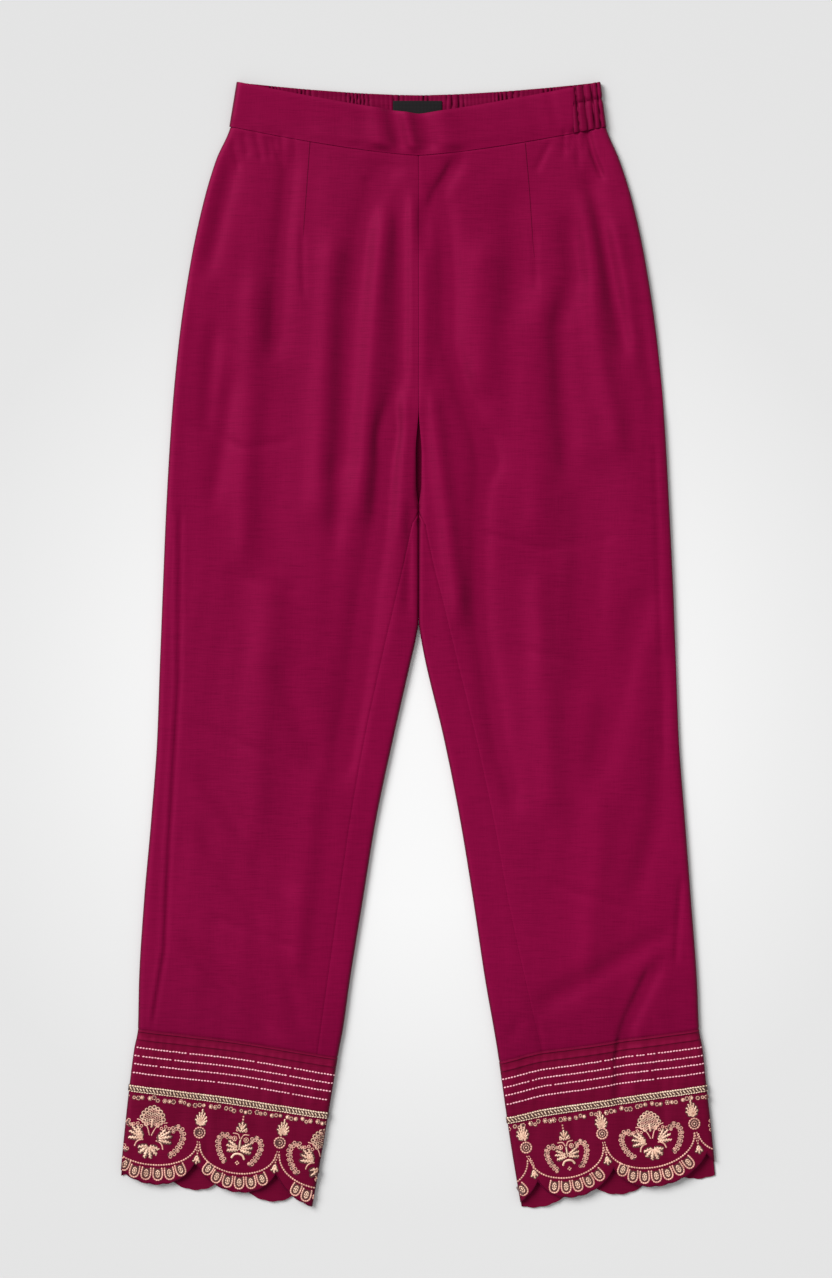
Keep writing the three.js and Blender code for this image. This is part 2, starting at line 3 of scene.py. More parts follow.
import bpy
import numpy as np
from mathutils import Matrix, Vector


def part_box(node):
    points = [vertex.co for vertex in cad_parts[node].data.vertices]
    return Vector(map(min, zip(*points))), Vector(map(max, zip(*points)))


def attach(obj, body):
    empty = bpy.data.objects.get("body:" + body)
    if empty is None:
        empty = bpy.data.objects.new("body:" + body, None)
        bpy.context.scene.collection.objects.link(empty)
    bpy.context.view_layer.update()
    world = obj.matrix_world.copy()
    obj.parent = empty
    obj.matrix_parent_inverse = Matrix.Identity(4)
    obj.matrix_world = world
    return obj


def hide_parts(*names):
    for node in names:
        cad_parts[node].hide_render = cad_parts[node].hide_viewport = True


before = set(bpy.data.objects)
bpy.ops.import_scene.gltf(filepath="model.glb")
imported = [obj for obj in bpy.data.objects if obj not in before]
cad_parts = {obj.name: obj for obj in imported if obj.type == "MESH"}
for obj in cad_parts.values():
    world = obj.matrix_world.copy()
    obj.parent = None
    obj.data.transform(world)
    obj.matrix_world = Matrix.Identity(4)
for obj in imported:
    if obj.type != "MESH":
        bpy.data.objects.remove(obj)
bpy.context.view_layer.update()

# Everything below is in millimetres from the middle of the garment's outline, as it was drafted.
# The label's own node tells where that draft lies in the frame.
draft = {"labelMiddle": (-0.9, 461.8), "millimetre": 0.001}
labelLow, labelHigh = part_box("label")
shift = [
    (labelLow[i] + labelHigh[i]) / 2 - draft["labelMiddle"][i] * draft["millimetre"] for i in range(2)
]
sideSign = {"right": -1, "left": 1}  # the wearer's sides, so the right leg lies at negative X

# The cut: walls and seams, the lie of the cloth, the crotch, the legs, the waist and the front's parting.
cut = {
    "shell": 0.6, "gap": 0.06, "seamRise": 2.3, "seamDip": 0.34, "dipReach": 0.8,
    "loft": 5.6, "lowest": 2.9, "foldScale": 1.15, "creaseScale": 1.5, "mainFade": 32,
    "crotchY": 120, "valleyTopY": 215, "valleyRun": 87, "meetX": 7.0, "wrapStart": 2.5, "wrapRun": 17,
    "legMiddleX": 158, "leanFromY": -110, "waistHalf": 161, "raiseFromY": 300,
    "partLowY": 119, "partHighY": 207, "partRuns": (20, 44), "partHalf": 2.9,
}
halfGap = cut["gap"] / 2
frontStop = cut["seamRise"] + halfGap  # a front ends this far above the bottom of each edge
backStop = cut["seamRise"] - halfGap
legTop = cut["crotchY"] - 0.01  # rows below this are on one leg alone
frontSeam = {"middle": 425.4, "rise": 24.4, "power": 1.35}
frontTop = {"middle": 461.5, "rise": 28.3, "power": 1.15}
backSeam = {"middle": 440.1, "rise": 9.7, "power": 1.0}
backTop = {"middle": 477.9, "rise": 11.6, "power": 1.6}
hem = {
    "top": -48.7, "notch": 58.0, "tucks": (-46.8, -40.0), "tuckRise": 0.9, "wall": 0.8,
    "runs": (-33.0, -25.8, -18.7, -10.9), "runDip": 0.22, "bowFrom": -12, "bowRun": 34,
    "right": {"x": -251.0, "y": -382.4, "tilt": math.radians(-8.07)},
    "left": {"x": 77.0, "y": -411.1, "tilt": math.radians(9.32)},
}
for place in (hem["right"], hem["left"]):
    tilt = place["tilt"]
    place.update(cos=math.cos(tilt), sin=math.sin(tilt), tan=math.tan(tilt))

# The outline at heights y: how far the outer edge, the inner edge and the inseam lie from the middle, on the
# right leg and then on the left one.
outlineColumns = {
    "right": {"outer": 1, "inner": 2, "inseam": 3}, "left": {"outer": 4, "inner": 5, "inseam": 6},
}
outlineRows = [
    (489, 156.8, 0.0, 0.0, 156.8, 0.0, 0.0), (450, 163.8, 0.0, 0.0, 163.2, 0.0, 0.0),
    (422, 176.0, 0.0, 0.0, 174.6, 0.0, 0.0), (387, 186.6, 0.0, 0.0, 185.7, 0.0, 0.0),
    (335, 197.9, 0.0, 0.0, 197.1, 0.0, 0.0), (265, 208.4, 0.0, 0.0, 207.5, 0.0, 0.0),
    (195, 215.0, 0.0, 0.0, 214.0, 0.0, 0.0), (120, 219.5, 0.0, 4.0, 218.2, 0.0, 4.0),
    (74, 221.5, 0.0, 12.0, 220.5, 0.0, 12.0), (39, 222.9, 0.0, 20.4, 222.1, 0.0, 20.7),
    (21, 223.6, 0.0, 24.5, 222.7, 0.0, 25.1), (8, 224.1, 1.6, 27.7, 223.2, 1.6, 28.2),
    (-14, 225.0, 6.5, 32.6, 224.0, 5.7, 33.6), (-83, 227.5, 22.2, 47.4, 226.6, 22.2, 50.3),
    (-153, 232.7, 37.0, 59.6, 231.9, 36.1, 65.3), (-222, 238.8, 48.3, 69.4, 237.1, 47.4, 77.7),
    (-292, 243.2, 59.6, 79.2, 242.3, 57.9, 92.8), (-335, 244.2, 65.7, 85.2, 244.2, 65.5, 102.7),
    (-351, 247.3, 68.8, 87.4, 247.2, 68.2, 106.5), (-379, 251.0, 73.5, 91.0, 250.1, 72.2, 111.4),
    (-431, 256.6, 82.2, 98.0, 255.8, 79.6, 119.0), (-489, 261.9, 92.3, 106.0, 261.4, 89.2, 128.0),
]
# Scallops of the hem edge along the braid: the notches that end them, and the lowest depth of each.
scallopRows = {
    ("right", "front"): ([-10.5, 66.5, 135.8, 214.0], [82.5, 79.0, 83.0]),
    ("right", "back"): ([-48.0, 30.0, 96.0, 163.0, 230.0], [81.0, 83.0, 83.5, 79.0]),
    ("left", "front"): ([-55.0, 14.8, 79.6, 159.7, 228.0], [79.0, 77.0, 79.5, 77.0]),
    ("left", "back"): ([-20.0, 54.0, 124.0, 190.0, 262.0], [81.5, 82.0, 80.0, 78.0]),
}

# Main folds: height (a trough is negative), width and the line that each one follows.
mainFolds = [
    (-2.6, 13, [(-113, 407), (-118, 351), (-123, 270)]),
    (-2.9, 20, [(-32, 406), (-50, 350), (-61, 291), (-67, 165)]),
    (-3.1, 14, [(-15, 377), (-14, 333), (-15, 240), (-26, 184)]),
    (-3.6, 18, [(-25, 183), (-33, 109), (-44, 49), (-55, -43), (-66, -99)]),
    (-2.3, 11, [(-165, 402), (-180, 340)]),
    (-2.0, 11, [(-179, 259), (-183, 203)]),
    (-1.8, 12, [(-164, 217), (-176, 142)]),
    (-1.7, 12, [(-72, 143), (-72, 107)]),
    (-2.1, 16, [(-115, -33), (-93, -92)]),
    (-2.1, 15, [(-179, -123), (-123, -202)]),
    (-1.8, 13, [(-183, -170), (-146, -229)]),
    (-2.3, 11, [(-189, -273), (-137, -325)]),
    (-1.6, 11, [(-113, -289), (-107, -317)]),
    (3.1, 19, [(-76, 333), (-84, 128)]),
    (2.9, 14, [(-32, 360), (-50, 128)]),
    (2.6, 12, [(-2, 370), (-1, 250)]),
    (2.1, 11, [(-12, 203), (-16, 110)]),
    (2.3, 16, [(-143, 300), (-151, 90)]),
    (2.0, 20, [(-132, 40), (-142, -160)]),
    (1.8, 15, [(-90, -121), (-106, -271)]),
    (-3.1, 14, [(22, 375), (26, 322), (26, 260), (45, 204), (60, 167)]),
    (-3.1, 15, [(60, 166), (53, 110), (55, 13), (70, -80), (81, -124)]),
    (-2.3, 10, [(28, 409), (7, 375), (4, 353)]),
    (-2.6, 15, [(133, 351), (137, 321), (122, 277), (130, 166)]),
    (-2.5, 11, [(151, 393), (166, 327), (177, 271)]),
    (-2.2, 20, [(83, 378), (88, 301)]),
    (-2.1, 11, [(191, 278), (205, 222)]),
    (-2.6, 26, [(149, 143), (149, -24)]),
    (-2.6, 20, [(191, 30), (158, -100)]),
    (-2.1, 15, [(212, -17), (207, -155), (193, -203)]),
    (-2.1, 13, [(201, -259), (119, -307)]),
    (-2.5, 9, [(202, -292), (182, -333), (178, -373)]),
    (3.0, 11, [(13, 204), (25, 111), (33, 40)]),
    (2.9, 20, [(57, 330), (57, 240)]),
    (2.9, 14, [(148, 371), (156, 263), (171, 185)]),
    (2.1, 11, [(173, 352), (188, 271)]),
    (2.6, 26, [(103, 290), (103, 110)]),
    (2.2, 18, [(104, 41), (116, -129)]),
    (2.0, 18, [(158, -151), (148, -271)]),
]
# Creases too fine for the solids, with a fade past their ends after the width: gathers under the
# waistband, pressed side lines and wrinkles.
fineFolds = [
    (-0.7, 3.0, 6, [(-152, 441), (-149, 428)]),
    (-0.8, 2.6, 8, [(-141, 440), (-137, 424)]),
    (-0.6, 2.4, 6, [(-131, 438), (-129, 427)]),
    (-0.7, 3.0, 8, [(-119, 437), (-118, 421)]),
    (-0.5, 2.4, 6, [(-108, 436), (-107, 426)]),
    (-0.9, 3.0, 10, [(137, 443), (139, 421)]),
    (-2.0, 3.2, 14, [(147, 447), (151, 428), (157, 413)]),
    (-0.8, 2.6, 8, [(144, 443), (144, 432)]),
    (-0.8, 2.6, 8, [(127, 442), (126, 428)]),
    (-1.3, 2.6, 12, [(175, 414), (182, 391)]),
    (-0.4, 1.8, 5, [(-53, 418), (-10, 415)]),
    (-0.4, 1.8, 5, [(-50, 413), (-16, 411)]),
    (-0.7, 3.4, 14, [(-101, 352), (-101, 330), (-100, 312)]),
    (-0.6, 3.4, 14, [(101, 352), (102, 334), (102, 318)]),
    (-0.8, 2.2, 20, [(-207, 106), (-208, -35), (-216, -173), (-220, -265), (-229, -317)]),
    (0.5, 2.6, 20, [(-211, 106), (-212, -35), (-220, -173), (-224, -265), (-232, -317)]),
    (-0.7, 2.4, 20, [(206, 160), (210, 20), (213, -90)]),
    (-0.9, 3.6, 12, [(228, -209), (224, -268)]),
    (-0.7, 3.0, 10, [(84, -330), (86, -350)]),
    (-0.7, 3.0, 10, [(104, -332), (108, -352)]),
    (-0.6, 5.0, 14, [(-196, 190), (-150, 170), (-120, 176)]),
    (-0.6, 4.4, 14, [(-160, 60), (-110, 48)]),
    (-0.7, 4.4, 16, [(60, 96), (110, 82), (160, 92)]),
    (-0.6, 5.0, 16, [(100, -6), (160, -22)]),
    (-0.7, 5.0, 16, [(-190, -70), (-140, -92)]),
    (-0.6, 4.4, 14, [(-170, -240), (-110, -262)]),
    (-0.6, 5.0, 14, [(120, -210), (190, -232)]),
    (-0.6, 4.6, 12, [(-186, -392), (-184, -440)]),
    (-0.6, 4.6, 12, [(-118, -400), (-112, -452)]),
    (-0.7, 5.0, 12, [(132, -400), (138, -450)]),
    (-0.6, 4.6, 12, [(210, -380), (216, -438)]),
    (-0.9, 4.0, 10, [(174, -372), (172, -400)]),
    (-1.5, 3.2, 12, [(197, -289), (189, -306), (182, -322), (175, -343), (172, -358)]),
    (-0.9, 3.0, 8, [(90, -326), (78, -342)]),
    (-1.0, 3.4, 14, [(25, 412), (15, 393), (6, 371), (3, 352)]),
    (-1.1, 7.0, 20, [(-7, 112), (-9, 40)]),
    (-0.9, 2.8, 8, [(-161, 432), (-157, 418)]),
    (-0.9, 2.4, 6, [(-126, 436), (-122, 424)]),
    (-0.8, 2.6, 6, [(-44, 402), (-36, 398)]),
    (-0.8, 2.2, 5, [(133, 442), (132, 432)]),
    (-0.8, 3.2, 10, [(112, 432), (104, 416)]),
]
# The backs rest flat, so their creases only rise a little from the surface underneath.
backFolds = [
    (1.0, 12, 30, [(-110, 400), (-118, 300), (-112, 210)]),
    (0.9, 10, 26, [(-52, 380), (-66, 290)]),
    (1.1, 16, 30, [(-150, 220), (-138, 60), (-146, -40)]),
    (0.8, 9, 24, [(-60, 150), (-88, 20)]),
    (1.0, 14, 30, [(-170, -60), (-160, -220)]),
    (0.8, 8, 20, [(-110, -120), (-126, -250)]),
    (0.7, 7, 16, [(-196, -250), (-170, -310)]),
    (1.0, 13, 30, [(106, 404), (116, 290), (104, 190)]),
    (0.8, 9, 22, [(60, 360), (52, 260)]),
    (1.1, 15, 30, [(160, 200), (146, 40)]),
    (0.9, 10, 26, [(84, 120), (96, -30)]),
    (0.9, 12, 28, [(176, -40), (166, -180), (180, -260)]),
    (0.8, 8, 20, [(112, -140), (124, -260)]),
]


def mix(low, high, share):
    return low + (high - low) * share


def ease(value):
    share = np.clip(value, 0, 1)
    return share * share * (3 - 2 * share)


# A column of a table as a smooth curve over y, without overshoot.
def curveOf(rows, column):
    rows = sorted(rows)
    ys = np.array([row[0] for row in rows], float)
    values = np.array([row[column] for row in rows], float)
    secants = np.diff(values) / np.diff(ys)
    before = np.concatenate([secants[:1], secants])
    after = np.concatenate([secants, secants[-1:]])
    joined = np.where(before * after > 0, before + after, 1)
    slopes = np.where(before * after > 0, 2 * before * after / joined, 0)

    def curve(y):
        y = np.clip(np.asarray(y, float), ys[0], ys[-1])
        i = np.clip(np.searchsorted(ys, y), 1, len(ys) - 1)
        span = ys[i] - ys[i - 1]
        t = (y - ys[i - 1]) / span
        return (
            (1 + 2 * t) * (1 - t) ** 2 * values[i - 1]
            + t * (1 - t) ** 2 * span * slopes[i - 1]
            + t * t * (3 - 2 * t) * values[i]
            + t * t * (t - 1) * span * slopes[i]
        )

    return curve


outline = {
    name: {edge: curveOf(outlineRows, column) for edge, column in columns.items()}
    for name, columns in outlineColumns.items()
}


# Adds one table of folds up over a grid of places.
def foldHeights(folds, x, y):
    total = np.zeros_like(x)
    for height, width, fade, line in folds:
        across = np.full_like(x, 1e9)
        beyond = np.full_like(x, 1e9)
        away = np.full_like(x, 1e9)
        for (x0, y0), (x1, y1) in zip(line, line[1:]):
            length = math.hypot(x1 - x0, y1 - y0)
            ahead = ((x - x0) * (x1 - x0) + (y - y0) * (y1 - y0)) / length
            aside = np.abs((x - x0) * (y1 - y0) - (y - y0) * (x1 - x0)) / length
            past = np.maximum(np.maximum(-ahead, ahead - length), 0)
            far = np.hypot(aside, past)
            nearer = far < away
            across = np.where(nearer, aside, across)
            beyond = np.where(nearer, past, beyond)
            away = np.where(nearer, far, away)
        total += height * np.exp(-2 * (across / width) ** 2) * (1 - ease(beyond / fade))
    return total


def runLengths(x, y):
    return np.concatenate([[0], np.cumsum(np.hypot(np.diff(x), np.diff(y)))])


# Soft uneven swells: a sum of waves with a fixed seed.
def swell(x, y, seed, reach, count=14):
    random = np.random.default_rng(seed)
    total = np.zeros_like(x)
    for _ in range(count):
        turn = random.uniform(-0.5, 0.5)
        size = reach * random.uniform(0.6, 1.6)
        total += np.sin((x * math.cos(turn) + y * math.sin(turn) * 0.6) / size + random.uniform(0, 6.3))
    return total / math.sqrt(count)


relief = {
    "x0": -272.0, "y0": -500.0, "step": 1.5, "columns": 364, "rows": 640, "softness": 4,
    "swells": [(0.22, 3, 9), (0.11, 8, 4)],  # height, seed and reach
}
gridX, gridY = np.meshgrid(
    relief["x0"] + relief["step"] * np.arange(relief["columns"]),
    relief["y0"] + relief["step"] * np.arange(relief["rows"]),
)
fadedFolds = [(height, width, cut["mainFade"], line) for height, width, line in mainFolds]
frontGrid = cut["loft"] + cut["foldScale"] * foldHeights(fadedFolds, gridX, gridY)
frontGrid += cut["creaseScale"] * foldHeights(fineFolds, gridX, gridY)
for height, seed, reach in relief["swells"]:
    frontGrid += height * swell(gridX, gridY, seed, reach)
softness = relief["softness"]
frontGrid = cut["lowest"] + np.logaddexp(0, (frontGrid - cut["lowest"]) * softness) / softness
backGrid = foldHeights(backFolds, gridX, gridY)
print("folds laid out")


def readGrid(heights, x, y):
    column = np.clip((np.asarray(x, float) - relief["x0"]) / relief["step"], 0, relief["columns"] - 1.001)
    row = np.clip((np.asarray(y, float) - relief["y0"]) / relief["step"], 0, relief["rows"] - 1.001)
    i, j = row.astype(int), column.astype(int)
    low = mix(heights[i, j], heights[i, j + 1], column - j)
    high = mix(heights[i + 1, j], heights[i + 1, j + 1], column - j)
    return mix(low, high, row - i)


# One cross-section of a flattened tube: from the inner bottom corner up round the inner edge, over
# the top to the outer edge and back along the flat bottom. Reaches are for the curves at each edge.
def sectionLoop(inner, outer, top, ditch=0.0, roll=1.0, quarter=10, step=1.2):
    turn = np.linspace(0, math.pi / 2, quarter + 1)
    innerTop = float(top(np.array([inner["x"] + inner["up"]]))[0])
    meet = inner.get("meet", innerTop) - ditch
    middle = mix(meet, inner["middle"], roll)
    lower = inner["low"] * roll
    parts = [(inner["x"] + lower * (1 - np.sin(turn)), middle * (1 - np.cos(turn)))]
    turn = turn[1:]
    t = turn / (math.pi / 2)
    rolled = mix(middle, innerTop, np.sin(turn))
    sunk = innerTop + (meet - innerTop) * (1 - t) ** 2
    parts.append((inner["x"] + inner["up"] * mix(t, 1 - np.cos(turn), roll), mix(sunk, rolled, roll)))
    start, end = inner["x"] + inner["up"], outer["x"] - outer["up"]
    x = np.linspace(start, end, int((end - start) / step) + 2)[1:]
    parts.append((x, top(x)))
    outerTop = float(parts[-1][1][-1])
    parts.append((end + outer["up"] * np.sin(turn), mix(outer["middle"], outerTop, np.cos(turn))))
    parts.append((outer["x"] - outer["low"] * (1 - np.cos(turn)), outer["middle"] * (1 - np.sin(turn))))
    parts.append((np.array([inner["x"] + lower]), np.array([0.0])))
    xs = np.concatenate([part[0] for part in parts])
    zs = np.concatenate([part[1] for part in parts])
    lengths = runLengths(xs, zs)
    runX, runZ = np.gradient(xs), np.gradient(zs)
    size = np.maximum(np.hypot(runX, runZ), 1e-6)
    last = len(xs) - 1
    return {
        "x": xs, "z": zs, "lengths": lengths, "outX": -runZ / size, "outZ": runX / size,
        "widest": lengths[quarter], "outerTurn": lengths[last - 1 - 2 * quarter],
        "outerWidest": lengths[last - 1 - quarter], "corner": lengths[last - 1], "whole": lengths[last],
        "isLeg": roll == 1.0,
    }


# Places and outward directions at lengths along a section, which may run on past its end.
def alongLoop(loop, lengths):
    at = np.where(lengths > loop["whole"], lengths - loop["whole"], lengths)
    return [np.interp(at, loop["lengths"], loop[key]) for key in ("x", "z", "outX", "outZ")]


def lengthAtTop(loop, x):
    upper = (loop["lengths"] > loop["widest"]) & (loop["lengths"] < loop["outerWidest"])
    return float(np.interp(x, loop["x"][upper], loop["lengths"][upper]))


def hemMiddle(name):
    place = hem[name]
    ahead = sideSign[name] * cut["legMiddleX"] - place["x"]
    return place["y"] + ahead * place["tan"] - hem["top"] / place["cos"]


# Line of a leg's row over x: it follows the waist seam at the top and the hem band at the bottom.
def legLine(name, height, seam):
    place = hem[name]
    slope, c = place["tan"], place["cos"]
    middleX = sideSign[name] * cut["legMiddleX"]
    lowering = float(ease((cut["leanFromY"] - height) / (cut["leanFromY"] - hemMiddle(name))))
    raising = float(ease((height - cut["raiseFromY"]) / (frontSeam["middle"] - cut["raiseFromY"])))
    sideY = height + frontSeam["rise"] * raising

    def line(x):
        sag = seam["rise"] * raising * (1 - (np.abs(x) / cut["waistHalf"]) ** seam["power"])
        bow = hemBow(name, (x - place["x"]) / c - hem["top"] * slope, hem["top"]) / c
        return sideY - sag + slope * lowering * (x - middleX) + bow * lowering ** 3

    return line


# How far the seam, tucks and rows of stitches of a hem band bow up from straight, over u.
bowRows = {
    "right": [(-20, 0), (0, 0), (40, 0.9), (86, 1.9), (130, 1.1), (170, 0.2), (215, 0)],
    "left": [
        (-20, 0), (0, 0.3), (38, 3.3), (60, 2.6), (85, 1.9), (112, 1.7), (150, 0.6), (175, 0.1), (215, 0),
    ],
}
bowOf = {name: curveOf(rows, 1) for name, rows in bowRows.items()}


def hemBow(name, u, v):
    return bowOf[name](u) * (1 - ease((v - hem["bowFrom"]) / hem["bowRun"]))


def hemLine(name, down):
    place = hem[name]
    slope, c = place["tan"], place["cos"]

    def line(x):
        v = down(x)
        ahead = x - place["x"]
        return place["y"] + ahead * slope - (v - hemBow(name, ahead / c - v * slope, v)) / c

    return line


# Place on a hem band as it lies: u along the braid, v down from its top edge.
def hemPlace(name, u, v):
    place = hem[name]
    c, s = place["cos"], place["sin"]
    v = v - hemBow(name, u, v)
    return place["x"] + u * c + v * s, place["y"] + u * s - v * c


scallop = {"middle": 14, "round": 0.88, "stretch": 1.53, "ripplePitch": 11}


# How far down a hem band reaches over x: rounded scallops, with a small ripple where it is asked for.
def scallopDepth(name, layer, ripple=0.0):
    place = hem[name]
    notches, lows = scallopRows[name, layer]
    sideways = (hem["notch"] + scallop["middle"]) * place["sin"]

    def depth(x):
        across = (x - place["x"]) * place["cos"] - sideways
        total = np.full_like(np.asarray(across, float), hem["notch"])
        for start, end, low in zip(notches, notches[1:], lows):
            half = (end - start) / 2
            offset = np.clip((across - start - half) / half, -1, 1)
            bow = 1 - scallop["stretch"] * (1 - np.sqrt(1 - offset * offset * scallop["round"]))
            bumps = ripple * np.abs(np.cos(across * math.pi / scallop["ripplePitch"])) * bow
            inside = (across >= start) & (across < end)
            total = np.where(inside, mix(hem["notch"], low, bow) + bumps, total)
        return total

    return depth


# Where a line across the leg meets one of its edges.
def edgeOn(name, column, line):
    x = float(outline[name][column](line(np.array(0.0))))
    for _ in range(8):
        x = float(outline[name][column](line(np.array(sideSign[name] * x))))
    return x


# Height at which both sides meet down the middle, above the crotch.
def meetingHeight(y):
    return float(readGrid(frontGrid, cut["meetX"], y) + readGrid(frontGrid, -cut["meetX"], y)) / 2


# How far the middle has sunk towards the crotch.
def sinkingAt(y):
    return float(ease((cut["valleyTopY"] - y) / cut["valleyRun"]))


# Reach of the curves over and under each edge of a leg, and the height of its widest place. The
# inner edge has one value at the crotch and one further down.
edges = {
    "outer": {"up": 5, "low": 2.6, "middle": 2.6}, "innerUp": (7, 4.5), "innerLow": 2.4,
    "innerMiddle": (2, 2.5), "run": 26, "leastDitch": 0.3,
}


# A cross-section of a leg along a line, with its top raised where that is asked for.
def legSection(name, line, raised=None):
    sign = sideSign[name]
    innerX, outerX = edgeOn(name, "inner", line), edgeOn(name, "outer", line)
    middleY = float(line(np.array(sign * innerX)))
    below = float(ease((cut["crotchY"] - middleY) / edges["run"]))
    isLeg = middleY < legTop

    def top(x):
        extra = raised(sign * x) if raised else 0.0
        return readGrid(frontGrid, sign * x, line(sign * x)) + extra

    meet = meetingHeight(float(line(np.array(0.0))))
    up, middle = (mix(*edges[key], below) for key in ("innerUp", "innerMiddle"))
    inner = {"x": innerX, "up": up, "low": edges["innerLow"], "middle": middle, "meet": meet}
    ditch = 0.0 if isLeg else max(edges["leastDitch"], (meet - cut["lowest"]) * sinkingAt(middleY))
    return sectionLoop(inner, {"x": outerX, **edges["outer"]}, top, ditch, 1.0 if isLeg else 0.0)


def inseamLength(name, line, loop):
    x = edgeOn(name, "inseam", line)
    middleY = float(line(np.array(sideSign[name] * x)))
    if middleY >= legTop:
        return loop["widest"]
    climb = float(ease((cut["crotchY"] - middleY) / cut["wrapRun"]))
    return mix(cut["wrapStart"], lengthAtTop(loop, x), climb)


# Points on the outer and inner face of a wall, at lengths along one section.
def rowPoints(line, loop, lengths, sign=1, outside=0.0, thickness=None):
    x, z, outX, outZ = alongLoop(loop, lengths)
    faces = []
    for lift in (outside, outside - (cut["shell"] if thickness is None else thickness)):
        px = sign * (x + outX * lift)
        faces.append(np.stack([px, line(px), np.maximum(z + outZ * lift, 0)], axis=1))
    return faces


# How far a seam pulls the cloth down at a distance from it.
def dipAt(distance):
    return -cut["seamDip"] * np.exp(-((distance / cut["dipReach"]) ** 2))


# Half width of the narrow parting where the two fronts fold away from each other above the crotch.
def partingAt(y):
    low, high = cut["partRuns"]
    return cut["partHalf"] * float(ease((y - cut["partLowY"]) / low) * ease((cut["partHighY"] - y) / high))


# Shares from 0 to 1 that lie closer together at both ends.
def spacedShares(middleSteps, endSteps, endShare):
    near = endShare * np.arange(endSteps) / endSteps
    middle = np.linspace(endShare, 1 - endShare, middleSteps + 1)
    return np.concatenate([near, middle, 1 - near[::-1]])


def toFrame(points):
    points = np.asarray(points, float).reshape(-1, 3) * draft["millimetre"]
    return points + np.array([shift[0], shift[1], 0.0])


def addObject(name, data):
    made = bpy.data.objects.new(name, data)
    bpy.context.scene.collection.objects.link(made)
    return made


def addMesh(name, points, faces, material, sharp=50):
    mesh = bpy.data.meshes.new(name)
    mesh.from_pydata(toFrame(points).tolist(), [], faces)
    mesh.update()
    piece = addObject(name, mesh)
    mesh.materials.append(material)
    mesh.shade_smooth()
    mesh.set_sharp_from_angle(angle=math.radians(sharp))
    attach(piece, "root")
    return piece


# A closed wall from rows of outer and inner points.
def addWall(name, rows, material):
    outer = np.array([row[0] for row in rows])
    inner = np.array([row[1] for row in rows])
    rowCount, columnCount = outer.shape[:2]
    points = np.concatenate([outer.reshape(-1, 3), inner.reshape(-1, 3)])
    over = np.arange(rowCount * columnCount).reshape(rowCount, columnCount)
    under = over + rowCount * columnCount

    def quads(a, b, c, d):
        return np.stack([a, b, c, d], axis=-1).reshape(-1, 4)

    faces = np.concatenate([
        quads(over[:-1, :-1], over[1:, :-1], over[1:, 1:], over[:-1, 1:]),
        quads(under[:-1, :-1], under[:-1, 1:], under[1:, 1:], under[1:, :-1]),
        quads(over[:-1, 0], under[:-1, 0], under[1:, 0], over[1:, 0]),
        quads(over[:-1, -1], over[1:, -1], under[1:, -1], under[:-1, -1]),
        quads(over[0, :-1], over[0, 1:], under[0, 1:], under[0, :-1]),
        quads(over[-1, :-1], under[-1, :-1], under[-1, 1:], over[-1, 1:]),
    ])
    a, b, c, d = (points[faces[:, i]] for i in range(4))
    volume = (a * np.cross(b, c)).sum() + (a * np.cross(c, d)).sum()
    if volume < 0:
        faces = faces[:, ::-1]
    return addMesh(name, points, faces.tolist(), material)


# A shader socket that can stand in sums. Any other node comes from its node method.
class Wire:
    tree = None

    def __init__(self, socket):
        self.socket = socket

    @classmethod
    def node(cls, kind, settings, sockets, output=0):
        made = cls.tree.nodes.new("ShaderNode" + kind)
        for key, value in settings.items():
            if key == "stops":
                elements = made.color_ramp.elements
                elements[0].position, elements[1].position = value[0][0], value[-1][0]
                for place, _ in value[1:-1]:
                    elements.new(place)
                for element, (_, colour) in zip(elements, value):
                    element.color = (*colour, 1)
            else:
                setattr(made, key, value)
        for key, value in sockets.items():
            if isinstance(value, cls):
                cls.tree.links.new(value.socket, made.inputs[key])
            else:
                made.inputs[key].default_value = value
        return cls(made.outputs[output]) if len(made.outputs) else None

    @classmethod
    def sum(cls, operation, first, second):
        return cls.node("Math", {"operation": operation}, {0: first, 1: second})

    def __add__(self, other):
        return self.sum("ADD", self, other)

    def __radd__(self, other):
        return self.sum("ADD", other, self)

    def __sub__(self, other):
        return self.sum("SUBTRACT", self, other)

    def __rsub__(self, other):
        return self.sum("SUBTRACT", other, self)

    def __mul__(self, other):
        return self.sum("MULTIPLY", self, other)

    def __rmul__(self, other):
        return self.sum("MULTIPLY", other, self)


def newMaterial(name):
    material = bpy.data.materials.new(name)
    material.use_nodes = True
    Wire.tree = material.node_tree
    Wire.tree.nodes.clear()
    return material


def place3d(scale=(1, 1, 1)):
    where = Wire.node("TexCoord", {}, {}, output="Object")
    return Wire.node("VectorMath", {"operation": "MULTIPLY"}, {0: where, 1: scale})


def noise(scale, stretch=(1, 1, 1), detail=3.0, roughness=0.5):
    return Wire.node(
        "TexNoise", {}, {"Vector": place3d(stretch), "Scale": scale, "Detail": detail, "Roughness": roughness}
    )


def blendColour(share, first, second):
    sockets = {0: share}
    for key, colour in ((6, first), (7, second)):
        sockets[key] = colour if isinstance(colour, Wire) else (*colour, 1)
    return Wire.node("Mix", {"data_type": "RGBA"}, sockets, output=2)


def bump(height, strength, distance):
    return Wire.node("Bump", {}, {"Height": height, "Strength": strength, "Distance": distance})


def finishMaterial(sockets):
    Wire.node("OutputMaterial", {}, {"Surface": Wire.node("BsdfPrincipled", {}, sockets)})


# edge is the share of colour left on the rolled edges as painted shade, and the pair after it the uprightness
# over which that shade sets in.
silkLook = {
    "colour": (0.184, 0.0018, 0.034), "light": (0.222, 0.0026, 0.042), "dark": (0.128, 0.0010, 0.0235),
    "sheen": (0.9, 0.05, 0.30), "specular": (0.95, 0.04, 0.26), "edge": 0.42, "edgeShadeRange": (0.965, 0.66),
    "slub": (60, 1300, 60), "warp": (1500, 60, 60), "cloud": (1, 0.55, 1), "lean": 0.153,
}


